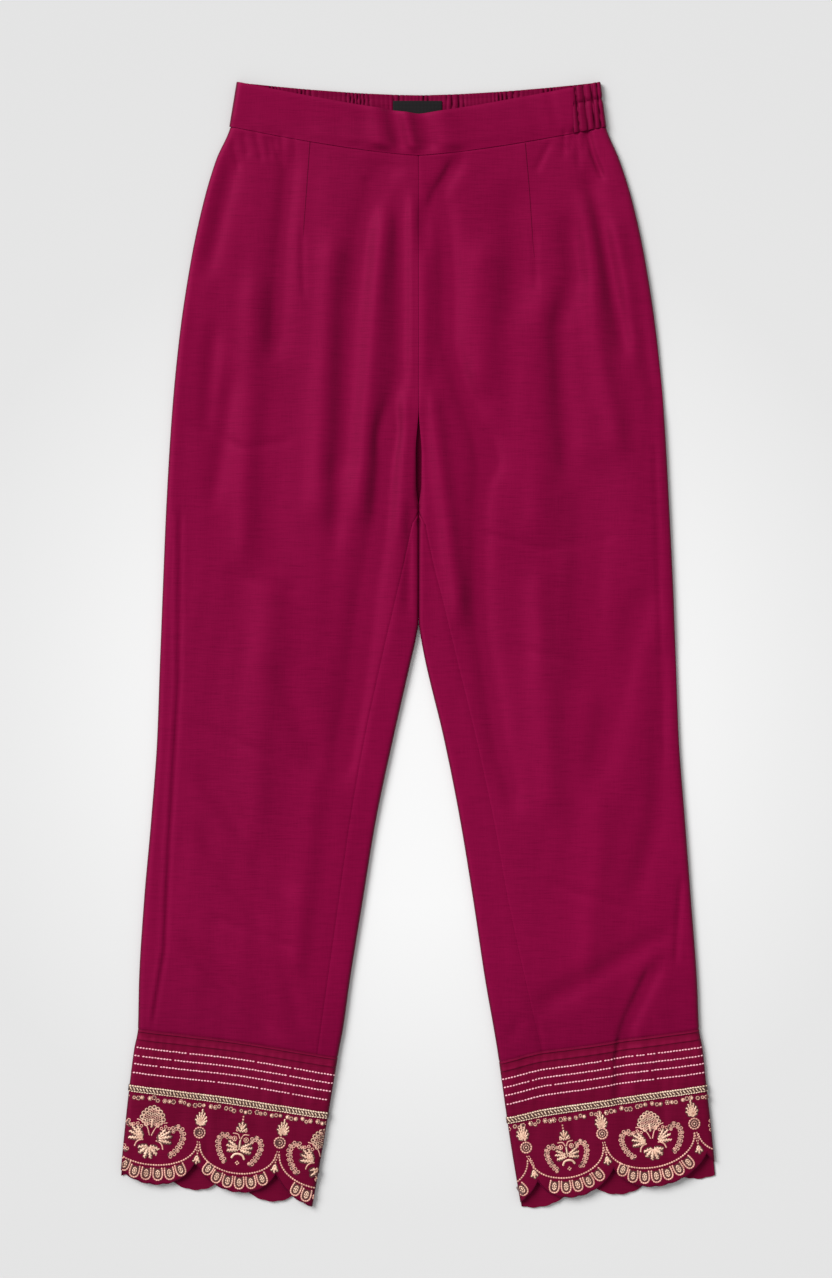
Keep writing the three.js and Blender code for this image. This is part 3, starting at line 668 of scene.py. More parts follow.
def sizeOf(value):
    return Wire.node("Math", {"operation": "ABSOLUTE"}, {0: value})


def shareBetween(value, ends):
    return Wire.node("MapRange", {}, {"Value": value, "From Min": ends[0], "From Max": ends[1]})


def darkened(colour, share, left):
    kind = {"data_type": "RGBA", "blend_type": "MULTIPLY"}
    return Wire.node("Mix", kind, {0: share, 6: colour, 7: (left, left, left, 1)}, output=2)


# A silk's rolled edges get painted shade: its colour is darkened where the cloth turns down out of the light.
# It can also turn darker down the legs, between two distances.
# Its tone is a share of each channel, and low is the share that is left at the bottom.
def silkMaterial(name, tone=(1.0, 1.0, 1.0), low=1.0, fall=(-0.29, -0.365)):
    material = newMaterial(name)
    slub = noise(1.0, silkLook["slub"], 4, 0.62)
    warp = noise(1.0, silkLook["warp"], 3, 0.6)
    cloud = noise(9.0, silkLook["cloud"], 3, 0.5)
    shades = [tuple(np.multiply(silkLook[key], tone).tolist()) for key in ("dark", "colour", "light")]
    cloth = blendColour(cloud * 1.4 - 0.2, shades[0], shades[2])
    cloth = blendColour(0.45, cloth, shades[1])
    streak = slub * 0.7 + warp * 0.3
    colour = blendColour((streak - 0.43) * 3.2, cloth, shades[2])
    colour = blendColour((0.45 - streak) * 4.8, colour, shades[0])
    if low < 1:
        x, y = (Wire.node("SeparateXYZ", {}, {"Vector": place3d()}, output=axis) for axis in ("X", "Y"))
        colour = darkened(colour, shareBetween(y - silkLook["lean"] * sizeOf(x), fall), low)
    # Painted shade: darker where the surface leans away from upright, on the rolled edges.
    normal = Wire.node("TexCoord", {}, {}, output="Normal")
    uprightForEdgeShade = sizeOf(Wire.node("SeparateXYZ", {}, {"Vector": normal}, output="Z"))
    colour = darkened(colour, shareBetween(uprightForEdgeShade, silkLook["edgeShadeRange"]), silkLook["edge"])
    weave = slub * 0.7 + warp * 0.5
    finishMaterial({
        "Base Color": colour, "Roughness": 0.62 - 0.14 * cloud, "Normal": bump(weave, 0.45, 0.0003),
        "Specular IOR Level": 0.42, "Specular Tint": (*silkLook["specular"], 1),
        "Sheen Weight": 0.12, "Sheen Roughness": 0.45, "Sheen Tint": (*silkLook["sheen"], 1),
        "Anisotropic": 0.3,
    })
    return material


def threadMaterial(name, light, dark, metallic):
    material = newMaterial(name)
    grain = noise(420.0, (1, 1, 1), 2, 0.5)
    tone = noise(60.0, (1, 1, 1), 3, 0.6)
    colour = blendColour(grain * 1.5 + tone * 0.8 - 0.45, dark, light)
    finishMaterial({
        "Base Color": colour, "Roughness": 0.30 + 0.25 * grain, "Metallic": metallic,
        "Normal": bump(grain, 0.25, 0.0002), "Coat Weight": 0.35, "Coat Roughness": 0.25,
    })
    return material


def labelMaterial():
    material = newMaterial("label_weave")
    waves = [
        Wire.node(
            "TexWave", {"bands_direction": axis}, {"Vector": place3d(), "Scale": 260.0, "Distortion": 0.4}
        )
        for axis in ("X", "Y")
    ]
    weave = waves[0] * waves[1]
    colour = blendColour(weave, (0.005, 0.004, 0.0045), (0.017, 0.0155, 0.017))
    finishMaterial({
        "Base Color": colour, "Roughness": 0.78, "Specular IOR Level": 0.2,
        "Normal": bump(weave, 0.5, 0.0002),
    })
    return material


silk = silkMaterial("silk", low=0.85)
bandSilk = silkMaterial("band_silk")
hemSilk = silkMaterial("hem_silk", (0.80, 1.5, 0.68), 0.78, (-0.38, -0.425))
casingSilk = silkMaterial("casing_silk", (0.8, 0.86, 0.78))
# A dark silk: painted shade on the dart welts and on the seam allowance in the front's parting, and the dark
# thread of the edge stitches.
seamThreadAndShade = silkMaterial("seam_thread_and_painted_shade", (0.46, 0.46, 0.42))
goldThread = threadMaterial("gold_thread", (1.0, 0.68, 0.50), (0.40, 0.15, 0.09), 0.1)
roseThread = threadMaterial("rose_gold_thread", (0.94, 0.50, 0.39), (0.34, 0.12, 0.09), 0.05)
pinkThread = threadMaterial("pink_thread", (1.0, 0.52, 0.60), (0.80, 0.28, 0.36), 0.0)
cordThread = threadMaterial("cord_thread", (1.0, 0.78, 0.58), (0.56, 0.26, 0.15), 0.0)
# A dark underlay below the embroidery: partly its darker ground, partly painted shade round and between the
# stitches.
underlayAndShade = threadMaterial("under_thread_and_painted_shade", (0.09, 0.018, 0.014), (0.045, 0.006, 0.008), 0.0)
# The braid's base is nearly black: painted shade in the slits between the braid's threads.
braidBaseShade = threadMaterial("braid_base_painted_shade", (0.08, 0.022, 0.014), (0.03, 0.008, 0.006), 0.1)
labelWeave = labelMaterial()
print("materials made")

panelRows = {
    "top": 380.0, "fine": 2.4, "coarse": 3.5, "backCoarse": 5.2, "tucked": 0.45,
    "legDip": 0.8, "middleDip": 0.35, "sideDip": 0.6,
}


# Heights of a leg's rows down the centre line, closer together by the seams and round the crotch.
def rowHeights(name, coarse):
    top = frontSeam["middle"] - cut["gap"]
    low = hemMiddle(name) + cut["gap"]
    crotch = cut["crotchY"]
    fine = np.arange(top - 4.5, panelRows["top"], -panelRows["fine"])
    upper = np.arange(panelRows["top"], crotch + 6, -coarse)
    lower = np.arange(crotch - 9, low + 5, -coarse)
    return np.concatenate([
        [top, top - 0.6, top - 1.4, top - 2.6], fine, upper,
        [crotch + 3, crotch, crotch - 3.5, crotch - 6], lower, [low + 2.4, low + 1.1, low + 0.5, low],
    ])


def frontPanel(name):
    shares = spacedShares(84, 5, 0.02)
    seam = rowHeights(name, panelRows["coarse"])
    heights = np.concatenate([seam[0] + np.array([3.0, 1.4, 0.5]), seam])
    rows = []
    for height in heights:
        line = legLine(name, height, frontSeam)
        loop = legSection(name, line)
        start = inseamLength(name, line, loop) + halfGap + partingAt(height)
        end = loop["corner"] - frontStop
        lengths = mix(start, end, shares)
        inner = panelRows["legDip" if loop["isLeg"] else "middleDip"]
        edge = dipAt(height - heights[-1]) - panelRows["tucked"] * ease((height - seam[2]) / 1.6)
        outside = dipAt(lengths - start) * inner + dipAt(end - lengths) * panelRows["sideDip"] + edge
        rows.append(rowPoints(line, loop, lengths, sideSign[name], outside))
    return addWall(f"silk_front_{name}", rows, silk)


# The folded seam allowance that lies under the front's middle seam, in a dark silk that paints the shade
# inside the front's parting.
allowance = {"top": 423.0, "low": 24.0, "half": 3.7, "under": 1.0, "deeper": 1.8, "wall": 0.4, "rows": 110}


def addAllowance():
    across = allowance["half"] * np.linspace(-1, 1, 9)
    rows = []
    for y in np.linspace(allowance["top"], allowance["low"], allowance["rows"]):
        py = np.full_like(across, y)
        under = allowance["under"] + allowance["deeper"] * (partingAt(y) > 0.05)
        beside = readGrid(frontGrid, cut["meetX"] * np.sign(across), py)
        level = mix(meetingHeight(y), beside, np.minimum(np.abs(across) / cut["meetX"], 1) ** 2)
        top = np.maximum(mix(level, cut["lowest"], sinkingAt(y)) - under, 1.0)
        faces = [np.stack([across, py, top - lower], axis=1) for lower in (0.0, allowance["wall"])]
        rows.append(faces)
    return addWall("seam_allowance_front", rows, seamThreadAndShade)


# The back lies flat, turns up round the inner edge below the crotch and ends at the inseam.
def backPanel(name):
    heights = rowHeights(name, panelRows["backCoarse"])
    rows = []
    for height in heights:
        line = legLine(name, height, backSeam)
        loop = legSection(name, line)
        start = loop["corner"] - backStop
        wrap = inseamLength(name, line, loop) - halfGap if loop["isLeg"] else 0.0
        corner = loop["whole"] - 3
        bend = min((wrap + 3) * 0.75, loop["widest"] * 2 + 5)
        lengths = np.concatenate([
            [start, start + 1.0], np.linspace(loop["corner"], corner, 36),
            corner + bend * np.linspace(0, 1, 13)[1:], corner + mix(bend, wrap + 3, np.linspace(0, 1, 9)[1:]),
        ])
        x = alongLoop(loop, lengths)[0] * sideSign[name]
        flat = ease((lengths - loop["corner"]) / 14) * ease((corner - lengths) / 14)
        edge = dipAt(heights[0] - height) + dipAt(height - heights[-1])
        outside = dipAt(lengths[-1] - lengths) + 0.7 * edge - flat * readGrid(backGrid, x, line(x))
        rows.append(rowPoints(line, loop, lengths, sideSign[name], outside))
    return addWall(f"silk_back_{name}", rows, silk)


band = {
    "seamX": 134.4, "deep": 38, "bottomHalf": 164.6, "bottomY": 450, "topHalf": 158.4, "topY": 489,
    "height": 7.0, "edge": {"up": 5, "low": 3, "middle": 3.2}, "edgeDrop": 0.7, "edgeReach": 1.5,
    "meetReach": 9.0, "meetRise": 0.35, "dentLean": 8, "wall": 0.9, "rows": 16, "columns": 150,
}
casing = {
    "rows": 16, "columns": 483, "wall": 0.7, "pitch": 3.9, "rise": 2.0, "stitchShares": (0.12, 0.5, 0.88),
    "overPitch": 6.2, "overRise": 2.2, "overStitch": 0.62, "turnReach": 6,
}


def sagLine(line):
    return lambda x: line["middle"] + line["rise"] * (np.abs(x) / cut["waistHalf"]) ** line["power"]


def lineBetween(low, high, share):
    return lambda x: mix(sagLine(low)(x), sagLine(high)(x), share)


def bandSection(line, lift=None):
    share = (float(line(cut["waistHalf"])) - band["bottomY"]) / (band["topY"] - band["bottomY"])
    half = mix(band["bottomHalf"], band["topHalf"], share)
    inner, outer = ({"x": x, **band["edge"]} for x in (-half, half))
    return sectionLoop(inner, outer, lambda x: band["height"] + (lift(x) if lift else 0.0 * x))


# Shallow dents of the front band, where it has been handled: place, depth and width.
bandDents = [
    (-30, 2.1, 9), (-15, -2.7, 7), (-3, 1.9, 5), (11, -3.0, 8), (29, 1.4, 10), (-98, -0.8, 16),
    (62, -0.8, 20), (104, -0.8, 9), (122, -0.8, 5),
]


def frontBand():
    shares = np.concatenate([[0, 0.015, 0.04], np.linspace(0.08, 0.92, band["rows"]), [0.96, 0.985, 1]])
    steps = spacedShares(band["columns"], 6, 0.03)
    rows = []
    for share in shares:
        line = lineBetween(frontSeam, frontTop, share)
        drop = band["edgeDrop"] * math.exp(-((band["deep"] * (1 - share) / band["edgeReach"]) ** 2))
        meeting = float(ease(band["deep"] * share / band["meetReach"]))

        def lift(x):
            beside = x + band["dentLean"] * share
            dents = sum(depth * np.exp(-(((beside - at) / width) ** 2)) for at, depth, width in bandDents)
            free = dents * (1 - 0.3 * share) + 0.12 * swell(x, 0 * x + 30 * share, 21, 5) - drop
            return mix(readGrid(frontGrid, x, line(x) - 2) + band["meetRise"] - band["height"], free, meeting)

        loop = bandSection(line, lift)
        end = lengthAtTop(loop, band["seamX"]) - halfGap
        lengths = mix(frontStop, end, steps)
        rows.append(rowPoints(line, loop, lengths, 1, dipAt(end - lengths), band["wall"]))
    return addWall("silk_band_front", rows, bandSilk)


# Uneven gathers along the elastic, pinched where it is stitched through.
def gathers(x, share):
    phase = math.pi * x / casing["pitch"] + 1.3 * np.sin(x / 9.3) + 0.6 * np.sin(x / 3.9 + 1)
    phase += 0.5 * np.sin(share * 3 + x / 15)
    size = 0.16 + 0.84 * ease(0.42 + 0.8 * np.sin(x / 5.2 + 1.7 * np.sin(x / 21)))
    pinch = sum(math.exp(-(((share - at) / 0.045) ** 2)) for at in casing["stitchShares"])
    return 1 - size * (1 - np.abs(np.cos(phase)) ** 0.4) - 0.2 * min(pinch, 1)


# Folds of the casing where it comes round to the front: round swells between narrow creases.
def overFolds(x, share):
    phase = math.pi * (x - band["seamX"] + 4 * share) / casing["overPitch"] + 0.35 * np.sin(x / 4.1)
    pinch = math.exp(-(((share - casing["overStitch"]) / 0.035) ** 2))
    return np.abs(np.sin(phase)) ** 0.6 * (0.85 + 0.15 * np.sin(x / 3)) - 0.7 * pinch


def backCasing():
    shares = np.concatenate([[0, 0.02, 0.05], np.linspace(0.1, 0.9, casing["rows"]), [0.95, 0.98, 1]])
    rows = []
    for share in shares:
        over = lineBetween(frontSeam, frontTop, share)
        under = lineBetween(backSeam, backTop, share)
        loop = bandSection(under)
        start = lengthAtTop(loop, band["seamX"]) + halfGap
        lengths = np.concatenate([
            np.linspace(start, loop["outerTurn"], 34)[:-1],
            np.linspace(loop["outerTurn"], loop["corner"], 15)[:-1],
            np.linspace(loop["corner"], loop["whole"], casing["columns"]),
            [loop["whole"] + 1.2, loop["whole"] + backStop],
        ])
        isOver = lengths < loop["outerWidest"]
        isUnder = (lengths > loop["corner"]) & (lengths < loop["whole"])

        def line(x):
            return np.where(isOver, over(x), under(x))

        x = alongLoop(loop, lengths)[0]
        onTop = ease((loop["corner"] - lengths) / casing["turnReach"])
        edge = dipAt(band["deep"] * share) + dipAt(band["deep"] * (1 - share))
        swells = casing["overRise"] * (overFolds(x, share) - 0.9)
        outside = onTop * (swells + edge) + dipAt(lengths - start)
        thickness = casing["wall"] + np.where(isUnder, casing["rise"] * gathers(x, share), 0)
        rows.append(rowPoints(line, loop, lengths, 1, outside, thickness))
    return addWall("silk_casing_back", rows, casingSilk)


# Extra height of the hem band: pintucks, dents under the running stitches and small puckers.
def hemRelief(name, x, down):
    total = 0.16 * swell(x, 0 * x + down, 31 if name == "right" else 37, 3.4)
    for tuck in hem["tucks"]:
        off = down - tuck
        wide = np.where(off < 0, 1.7, 0.55)
        total = total + hem["tuckRise"] * np.exp(-((off / wide) ** 2))
    for run in hem["runs"]:
        total = total - hem["runDip"] * np.exp(-((down - run) ** 2))
    window = ease((down - hem["top"]) / 6) * ease((6 - down) / 20)
    return total + 0.22 * window * np.sin(x * 2 * math.pi / 8.5 + 1.7 * np.sin(x / 9) + down / 9)


hemShares = spacedShares(96, 5, 0.02)


def hemFrontRow(name, down):
    line = hemLine(name, down)
    loop = legSection(name, line, lambda x: hemRelief(name, x, down(x)))
    return line, loop, mix(frontStop, loop["corner"] - frontStop, hemShares)


def constant(value):
    return lambda x: value + 0 * np.asarray(x, float)


def shareDown(edge, share):
    return lambda x: mix(hem["notch"] - 4, edge(x), share)


def hemFront(name):
    top = hem["top"]
    depths = [top, top + 0.6, top + 1.2]
    for tuck in hem["tucks"]:
        depths += [tuck + off for off in (-1.4, -0.7, 0, 0.3, 0.6, 1.2)]
    depths += list(np.arange(-37, hem["notch"] - 5, 2.2))
    edge = scallopDepth(name, "front", 1.0)
    downs = [constant(depth) for depth in sorted(depths)]
    downs += [shareDown(edge, share) for share in (0, 0.2, 0.4, 0.6, 0.78, 0.9, 0.97, 1)]
    rows = []
    for down in downs:
        line, loop, lengths = hemFrontRow(name, down)
        outside = dipAt(lengths - lengths[0]) * 0.6 + dipAt(lengths[-1] - lengths) * 0.6
        outside = outside + dipAt(float(down(0.0)) - top)
        rows.append(rowPoints(line, loop, lengths, sideSign[name], outside, hem["wall"]))
    return addWall(f"hem_band_front_{name}", rows, hemSilk)


def hemBack(name):
    edge = scallopDepth(name, "back", 0.8)
    notch = hem["notch"]
    downs = [constant(depth) for depth in np.linspace(hem["top"], notch - 4, 30)]
    downs += [shareDown(edge, share) for share in (0.15, 0.3, 0.45, 0.6, 0.75, 0.88, 1)]
    rows = []
    for down in downs:
        line = hemLine(name, down)
        loop = legSection(name, line)
        start = loop["corner"] - backStop
        lengths = np.concatenate([
            [start, start + 1.2], np.linspace(loop["corner"], loop["whole"], 110),
            [loop["whole"] + 1.1, loop["whole"] + backStop],
        ])
        x = alongLoop(loop, lengths)[0] * sideSign[name]
        flat = ease((lengths - loop["corner"]) / 8) * ease((loop["whole"] - lengths) / 8)
        free = ease((down(x) - notch + 2) / 12)
        lift = free * (0.9 + 0.8 * swell(x, 0 * x + down(x) * 0.6, 41, 6))
        outside = -flat * np.clip(lift, 0, 2.4)
        rows.append(rowPoints(line, loop, lengths, sideSign[name], outside, hem["wall"]))
    return addWall(f"hem_band_back_{name}", rows, hemSilk)


# The braid's section across the band: distance down and lift.
braidRows = [(0, 0.55), (0.25, 0.8), (1.6, 0.9), (2.8, 0.8), (4.0, 0.9), (5.35, 0.8), (5.6, 0.55)]


# The base under the braid's threads, in a near-black that paints the shade in its slits.
def braidBase(name):
    rows = []
    for down, lift in braidRows:
        line, loop, lengths = hemFrontRow(name, constant(down))
        rows.append(rowPoints(line, loop, lengths[1:-1], sideSign[name], lift, lift - 0.25))
    return addWall(f"braid_{name}_base", rows, braidBaseShade)


# Height of the hem band's face at a place on it, with the roll of both its edges, and how far
# inside the nearer edge the place lies.
def hemSurface(name, u, v):
    x, y = hemPlace(name, u, v)
    inside = sideSign[name] * x
    toInner = inside - outline[name]["inner"](y)
    toOuter = outline[name]["outer"](y) - inside
    height = readGrid(frontGrid, x, y) + hemRelief(name, x, v)
    inner = (toInner, edges["innerUp"][1], edges["innerMiddle"][1])
    outer = (toOuter, edges["outer"]["up"], edges["outer"]["middle"])
    for distance, reach, middle in (inner, outer):
        turn = np.clip((reach - distance) / reach, 0, 1)
        height = middle + (height - middle) * np.sqrt(1 - turn * turn)
    return x, y, height, np.minimum(toInner, toOuter)


# One stitch lying along its own X, thickest in the middle.
def stitchShape(sides=6):
    rings = [(-0.4, 0.36), (0.0, 0.5), (0.4, 0.36)]
    points = [(-0.5, 0, 0)]
    for x, radius in rings:
        for i in range(sides):
            turn = 2 * math.pi * i / sides
            points.append((x, radius * math.cos(turn), radius * math.sin(turn)))
    points.append((0.5, 0, 0))
    last = len(points) - 1
    faces = []
    for i in range(sides):
        j = (i + 1) % sides
        faces.append((0, 1 + j, 1 + i))
        for ring in range(len(rings) - 1):
            a = 1 + ring * sides
            faces.append((a + i, a + j, a + sides + j, a + sides + i))
        a = 1 + (len(rings) - 1) * sides
        faces.append((a + i, a + j, last))
    return np.array(points, float), faces


stitchPoints, stitchFaces = stitchShape()


# Joins stitches into one piece. Each row is u, v, turn, length, width and lift, on a hem band.
def addStitches(name, side, stitches, material, flatness=0.6):
    rows = np.array([tuple(row) + (0.0,) * (6 - len(row)) for row in stitches], float)
    u, v, turn, length, width, lift = rows.T
    ends = []
    for half in (-0.5, 0.5):
        x, y, z, _ = hemSurface(side, u + half * length * np.cos(turn), v + half * length * np.sin(turn))
        ends.append(np.stack([x, y, z], axis=1))
    x, y, z, margin = hemSurface(side, u, v)
    keep = (margin > 0.5 + 0.2 * width) & (v < scallopDepth(side, "front")(x) + 0.4)
    axis = ends[1] - ends[0]
    axis /= np.linalg.norm(axis, axis=1)[:, None]
    aside = np.cross([0.0, 0.0, 1.0], axis)
    aside /= np.linalg.norm(aside, axis=1)[:, None]
    normal = np.cross(axis, aside)
    middle = np.stack([x, y, z], axis=1) + normal * (lift + 0.22 * flatness * width)[:, None]
    shape = stitchPoints[None, :, :]
    points = (
        middle[:, None, :]
        + axis[:, None, :] * shape[:, :, 0:1] * length[:, None, None]
        + aside[:, None, :] * shape[:, :, 1:2] * width[:, None, None]
        + normal[:, None, :] * shape[:, :, 2:3] * width[:, None, None] * flatness
    )[keep]
    faces = []
    for base in range(0, len(points) * len(stitchPoints), len(stitchPoints)):
        faces += [tuple(base + corner for corner in face) for face in stitchFaces]
    return addMesh(name, points.reshape(-1, 3), faces, material)


# A smooth path through a few points.
def smoothPath(points, steps=12):
    points = np.array(points, float)
    padded = np.concatenate([2 * points[:1] - points[1:2], points, 2 * points[-1:] - points[-2:-1]])
    pieces = []
    for a, b, c, d in zip(padded, padded[1:], padded[2:], padded[3:]):
        t = np.linspace(0, 1, steps, endpoint=False)[:, None]
        curve = 2 * b + (c - a) * t + (2 * a - 5 * b + 4 * c - d) * t ** 2 + (3 * b - a - 3 * c + d) * t ** 3
        pieces.append(curve / 2)
    return np.concatenate(pieces + [points[-1:]])


# Places and directions at an even pitch along a path.
def evenly(path, pitch):
    path = np.array(path, float)
    lengths = runLengths(*path.T)
    count = max(int(lengths[-1] / pitch), 1)
    at = (np.arange(count) + 0.5) * lengths[-1] / count
    x, y = (np.interp(at, lengths, path[:, i]) for i in range(2))
    near = 0.01
    ahead = [np.interp(at + near, lengths, path[:, i]) for i in range(2)]
    return x, y, np.arctan2(ahead[1] - y, ahead[0] - x)


def lineOfStitches(path, pitch, length, width, lean=0.0):
    return [(x, y, turn + lean, length, width) for x, y, turn in zip(*evenly(path, pitch))]


# The stitches of a motif, kept apart by their thread.
def emptyWork():
    return {"gold": [], "rose": [], "under": []}


# A scroll: staggered loops of thread over a dark underlay, partly the work's darker ground and partly painted
# shade between the loops.
def loopChain(work, path, spread=1.2, pitch=3.7):
    for number, (x, y, turn) in enumerate(zip(*evenly(path, pitch / 2))):
        aside = spread * (1 if number % 2 else -1)
        middle = (x - aside * math.sin(turn), y + aside * math.cos(turn))
        work["rose"] += ringOfStitches(*middle, 1.2, 6, 1.35, 0.85)
        if number % 3 == 0:
            work["gold"].append((*middle, turn, 1.2, 1.1))
    work["under"] += lineOfStitches(path, 2.2, 3.6, 5.0)


# A blunt leaf filled with slanted stitches, from its base to its tip.
def satinLeaf(work, base, tip, breadth, pitch=1.15, slant=0.8):
    base, tip = np.array(base, float), np.array(tip, float)
    axis = tip - base
    length = math.hypot(*axis)
    turn = math.atan2(axis[1], axis[0])
    count = max(int(length / pitch), 3)
    for i in range(count):
        t = (i + 0.5) / count
        across = breadth * math.sin(math.pi * (0.14 + 0.74 * t)) ** 0.6
        x, y = base + axis * t
        work["gold"].append((x, y, turn + slant * (1 if i % 2 else -1), across * 1.1, pitch * 1.1))
    x, y = base + axis * 0.52
    work["gold"].append((x, y, turn, length * 0.9, breadth * 0.36, 0.35))
    # A dark underlay a little larger than the leaf: painted shade round its edge.
    work["under"].append((x, y, turn, length + 1.8, breadth + 1.5))


def ringOfStitches(x, y, radius, count, length, width):
    return [
        (x + radius * math.cos(turn), y + radius * math.sin(turn), turn + math.pi / 2, length, width)
        for turn in (2 * math.pi * i / count for i in range(count))
    ]


# Leaves of the motifs, right half only, in the motif's own millimetres with Y up:
# base x, base y, tip x, tip y and breadth. A leaf whose tip is at x = 0 stands alone.
largeLeaves = [
    (6.4, -3.0, 12.4, 5.4, 3.4), (6.4, -3.6, 16.6, 4.2, 3.4), (6.4, -4.0, 18.4, 0.0, 3.4),
    (6.6, -4.8, 18.4, -5.6, 3.6), (1.4, -10.8, 9.0, -12.8, 3.8), (1.0, -11.6, 7.6, -17.6, 4.2),
    (0.5, -12.0, 2.7, -21.2, 4.0),
]
largeHook = [(5.4, -5.6), (8.8, -6.6), (11.2, -8.8), (12.4, -12.4)]
largeStem = [(0.8, -1.6), (3.6, 5.2), (8.0, 9.8), (13.2, 11.2)]
largeScroll = [(17.8, 4.4), (21.6, 8.4), (26.2, 6.8), (28.4, 1.2), (26.9, -6.2), (22.9, -13.2), (18.3, -17.2)]
smallLeaves = [
    (1.8, -3.0, 10.2, 1.8, 3.3), (2.2, -4.2, 11.8, -2.2, 3.4), (1.4, -5.4, 10.8, -7.0, 3.8),
    (0.6, 11.4, 4.6, 15.2, 2.2), (0.8, 14.6, 3.0, 19.0, 2.2), (0, 12.4, 0, 20.8, 2.4), (0, -5.4, 0, 4.4, 1.5),
]
smallStem = [(0.5, 5.0), (2.8, 9.0), (7.6, 9.4)]
smallScroll = [(9.4, 3.4), (13.4, 6.8), (17.8, 5.6), (20.0, 0.0), (18.4, -7.2), (15.0, -13.6), (11.2, -18.2)]
crescent = [(-6.0, -13.4), (-3.8, -10.0), (0, -8.9), (3.8, -10.0), (6.0, -13.4)]
pendantLeaves = [
    (0.2, 0.6, 2.4, 9.8, 2.3), (0.5, 0.4, 4.3, 7.0, 2.4), (0.8, 0, 5.1, 3.8, 2.3), (0.6, -0.6, 3.8, 0.6, 2.0),
    (0, 0, 0, 12.8, 2.3),
]
budLeaves = [(0.3, 0.4, 2.8, -2.6, 2.2), (0, 2.6, 1.7, -0.2, 1.7), (0, 0.4, 0, -4.4, 2.2)]


def addLeaves(work, leaves):
    for x0, y0, x1, y1, breadth in leaves:
        for sign in (-1, 1) if x1 else (1,):
            satinLeaf(work, (sign * x0, y0), (sign * x1, y1), breadth)


def bothSides(line):
    return [smoothPath([(sign * x, y) for x, y in line]) for sign in (-1, 1)]


def addStem(work, line, width=1.05):
    for path in bothSides(line):
        work["rose"] += lineOfStitches(path, 1.5, 2.1, width, 0.2)


# The large flower: a rounded rhombus of small loops inside a row of larger ones, with an upright bud.
flower = {"middle": 14.2, "half": (9.6, 8.8), "pitch": 3.3, "row": 2.9, "around": 13, "bud": 7.0}


def addFlower(work):
    wide, tall = flower["half"]
    for row in range(-3, 4):
        y = row * flower["row"]
        for column in range(-3, 4):
            x = (column + 0.5 * (row % 2)) * flower["pitch"]
            if (abs(x) / wide) ** 1.5 + (abs(y) / tall) ** 1.5 <= 0.8:
                spot = (x, flower["middle"] + y)
                work["gold" if row % 2 else "rose"] += ringOfStitches(*spot, 1.1, 6, 1.3, 0.8)
                work["under"].append((*spot, 0, 4.6, 4.4))
    for turn in np.radians(np.linspace(-52, 232, flower["around"])):
        c, s = math.cos(turn), math.sin(turn)
        far = ((abs(c) / wide) ** 1.5 + (abs(s) / tall) ** 1.5) ** (-1 / 1.5)
        x, y = far * c, flower["middle"] + far * s
        work["gold"] += ringOfStitches(x, y, 1.45, 7, 1.5, 0.95)
        work["under"].append((x, y, turn, 4.6, 4.6))
    satinLeaf(work, (0, 5.4), (0, 5.4 + flower["bud"]), 2.6)


def largePalmette():
    work = emptyWork()
    addLeaves(work, largeLeaves)
    addFlower(work)
    addStem(work, largeStem)
    addStem(work, largeHook, 1.3)
    for path in bothSides(largeScroll):
        loopChain(work, path)
    for sign in (-1, 1):
        for x, y in ((8.8, 5.6), (12.2, 7.6), (15.6, 6.4)):
            work["rose"] += ringOfStitches(sign * x, y, 1.1, 5, 1.4, 0.95)
    return work


def smallPalmette():
    work = emptyWork()
    addLeaves(work, smallLeaves)
    addStem(work, smallStem)
    for path in bothSides(smallScroll):
        loopChain(work, path)
    for sign in (-1, 1):
        work["rose"] += ringOfStitches(sign * 5.4, 4.6, 2.0, 7, 1.8, 1.05)
        work["gold"].append((sign * 5.4, 4.6, 1.57, 2.4, 1.4))
        work["rose"] += ringOfStitches(sign * 3.9, 12.8, 1.0, 5, 1.3, 0.9)
    work["gold"] += lineOfStitches(smoothPath(crescent), 1.2, 2.0, 1.9)
    work["rose"] += ringOfStitches(0, -17.4, 1.3, 4, 1.6, 1.3)
    work["rose"] += [(0, 22.9, 1.57, 1.9, 1.7), (0, 25.4, 1.57, 1.7, 1.5)]
    return work


# Adds a motif to the work of a hem band. Its own Y points up and v points down.
def placeMotif(work, motif, u, v, scale=1.0):
    for thread, rows in motif.items():
        for x, y, turn, length, *rest in rows:
            work[thread].append((u + scale * x, v - scale * y, -turn, scale * length, *rest))


def addPendant(work, leaf, ring, bud):
    leaves, knots, tip = emptyWork(), emptyWork(), emptyWork()
    addLeaves(leaves, pendantLeaves)
    knots["rose"] = ringOfStitches(0, 0, 4.5, 13, 2.2, 1.5) + ringOfStitches(0, 0, 2.3, 8, 1.8, 1.0)
    knots["under"] = [(0, 0, 0, 9.0, 9.0)]
    knots["gold"] = [(0, 0, 0.6, 1.7, 1.4, 0.3), (0, 6.6, 0, 1.9, 1.8)]
    addLeaves(tip, budLeaves)
    tip["rose"] = ringOfStitches(0, -1.0, 1.2, 5, 1.4, 1.0)
    for motif, place in ((leaves, (leaf[0], leaf[1] + 6.5)), (knots, ring), (tip, bud)):
        placeMotif(work, motif, *place)
    for sign in (-1, 1):
        path = smoothPath([
            (ring[0] + sign * 0.9, ring[1] + 7), (bud[0] + sign * 0.8, bud[1] - 8), (bud[0], bud[1] - 3.4),
        ])
        work["rose"] += lineOfStitches(path, 2.1, 1.6, 0.9)


def arcPath(start, end, high, low):
    t = np.radians(np.linspace(-86, 86, 60))
    along = (start + end) / 2 + (end - start) / 2 * np.sin(t)
    return np.stack([along, high + (low - high) * np.cos(t) ** 0.9], axis=1)


petal = {
    "offset": 7.6, "pitch": 10.2, "low": 5.5, "side": [(3.5, -5.2), (3.9, -2.4), (4.0, 1.6), (2.8, 4.4)],
}
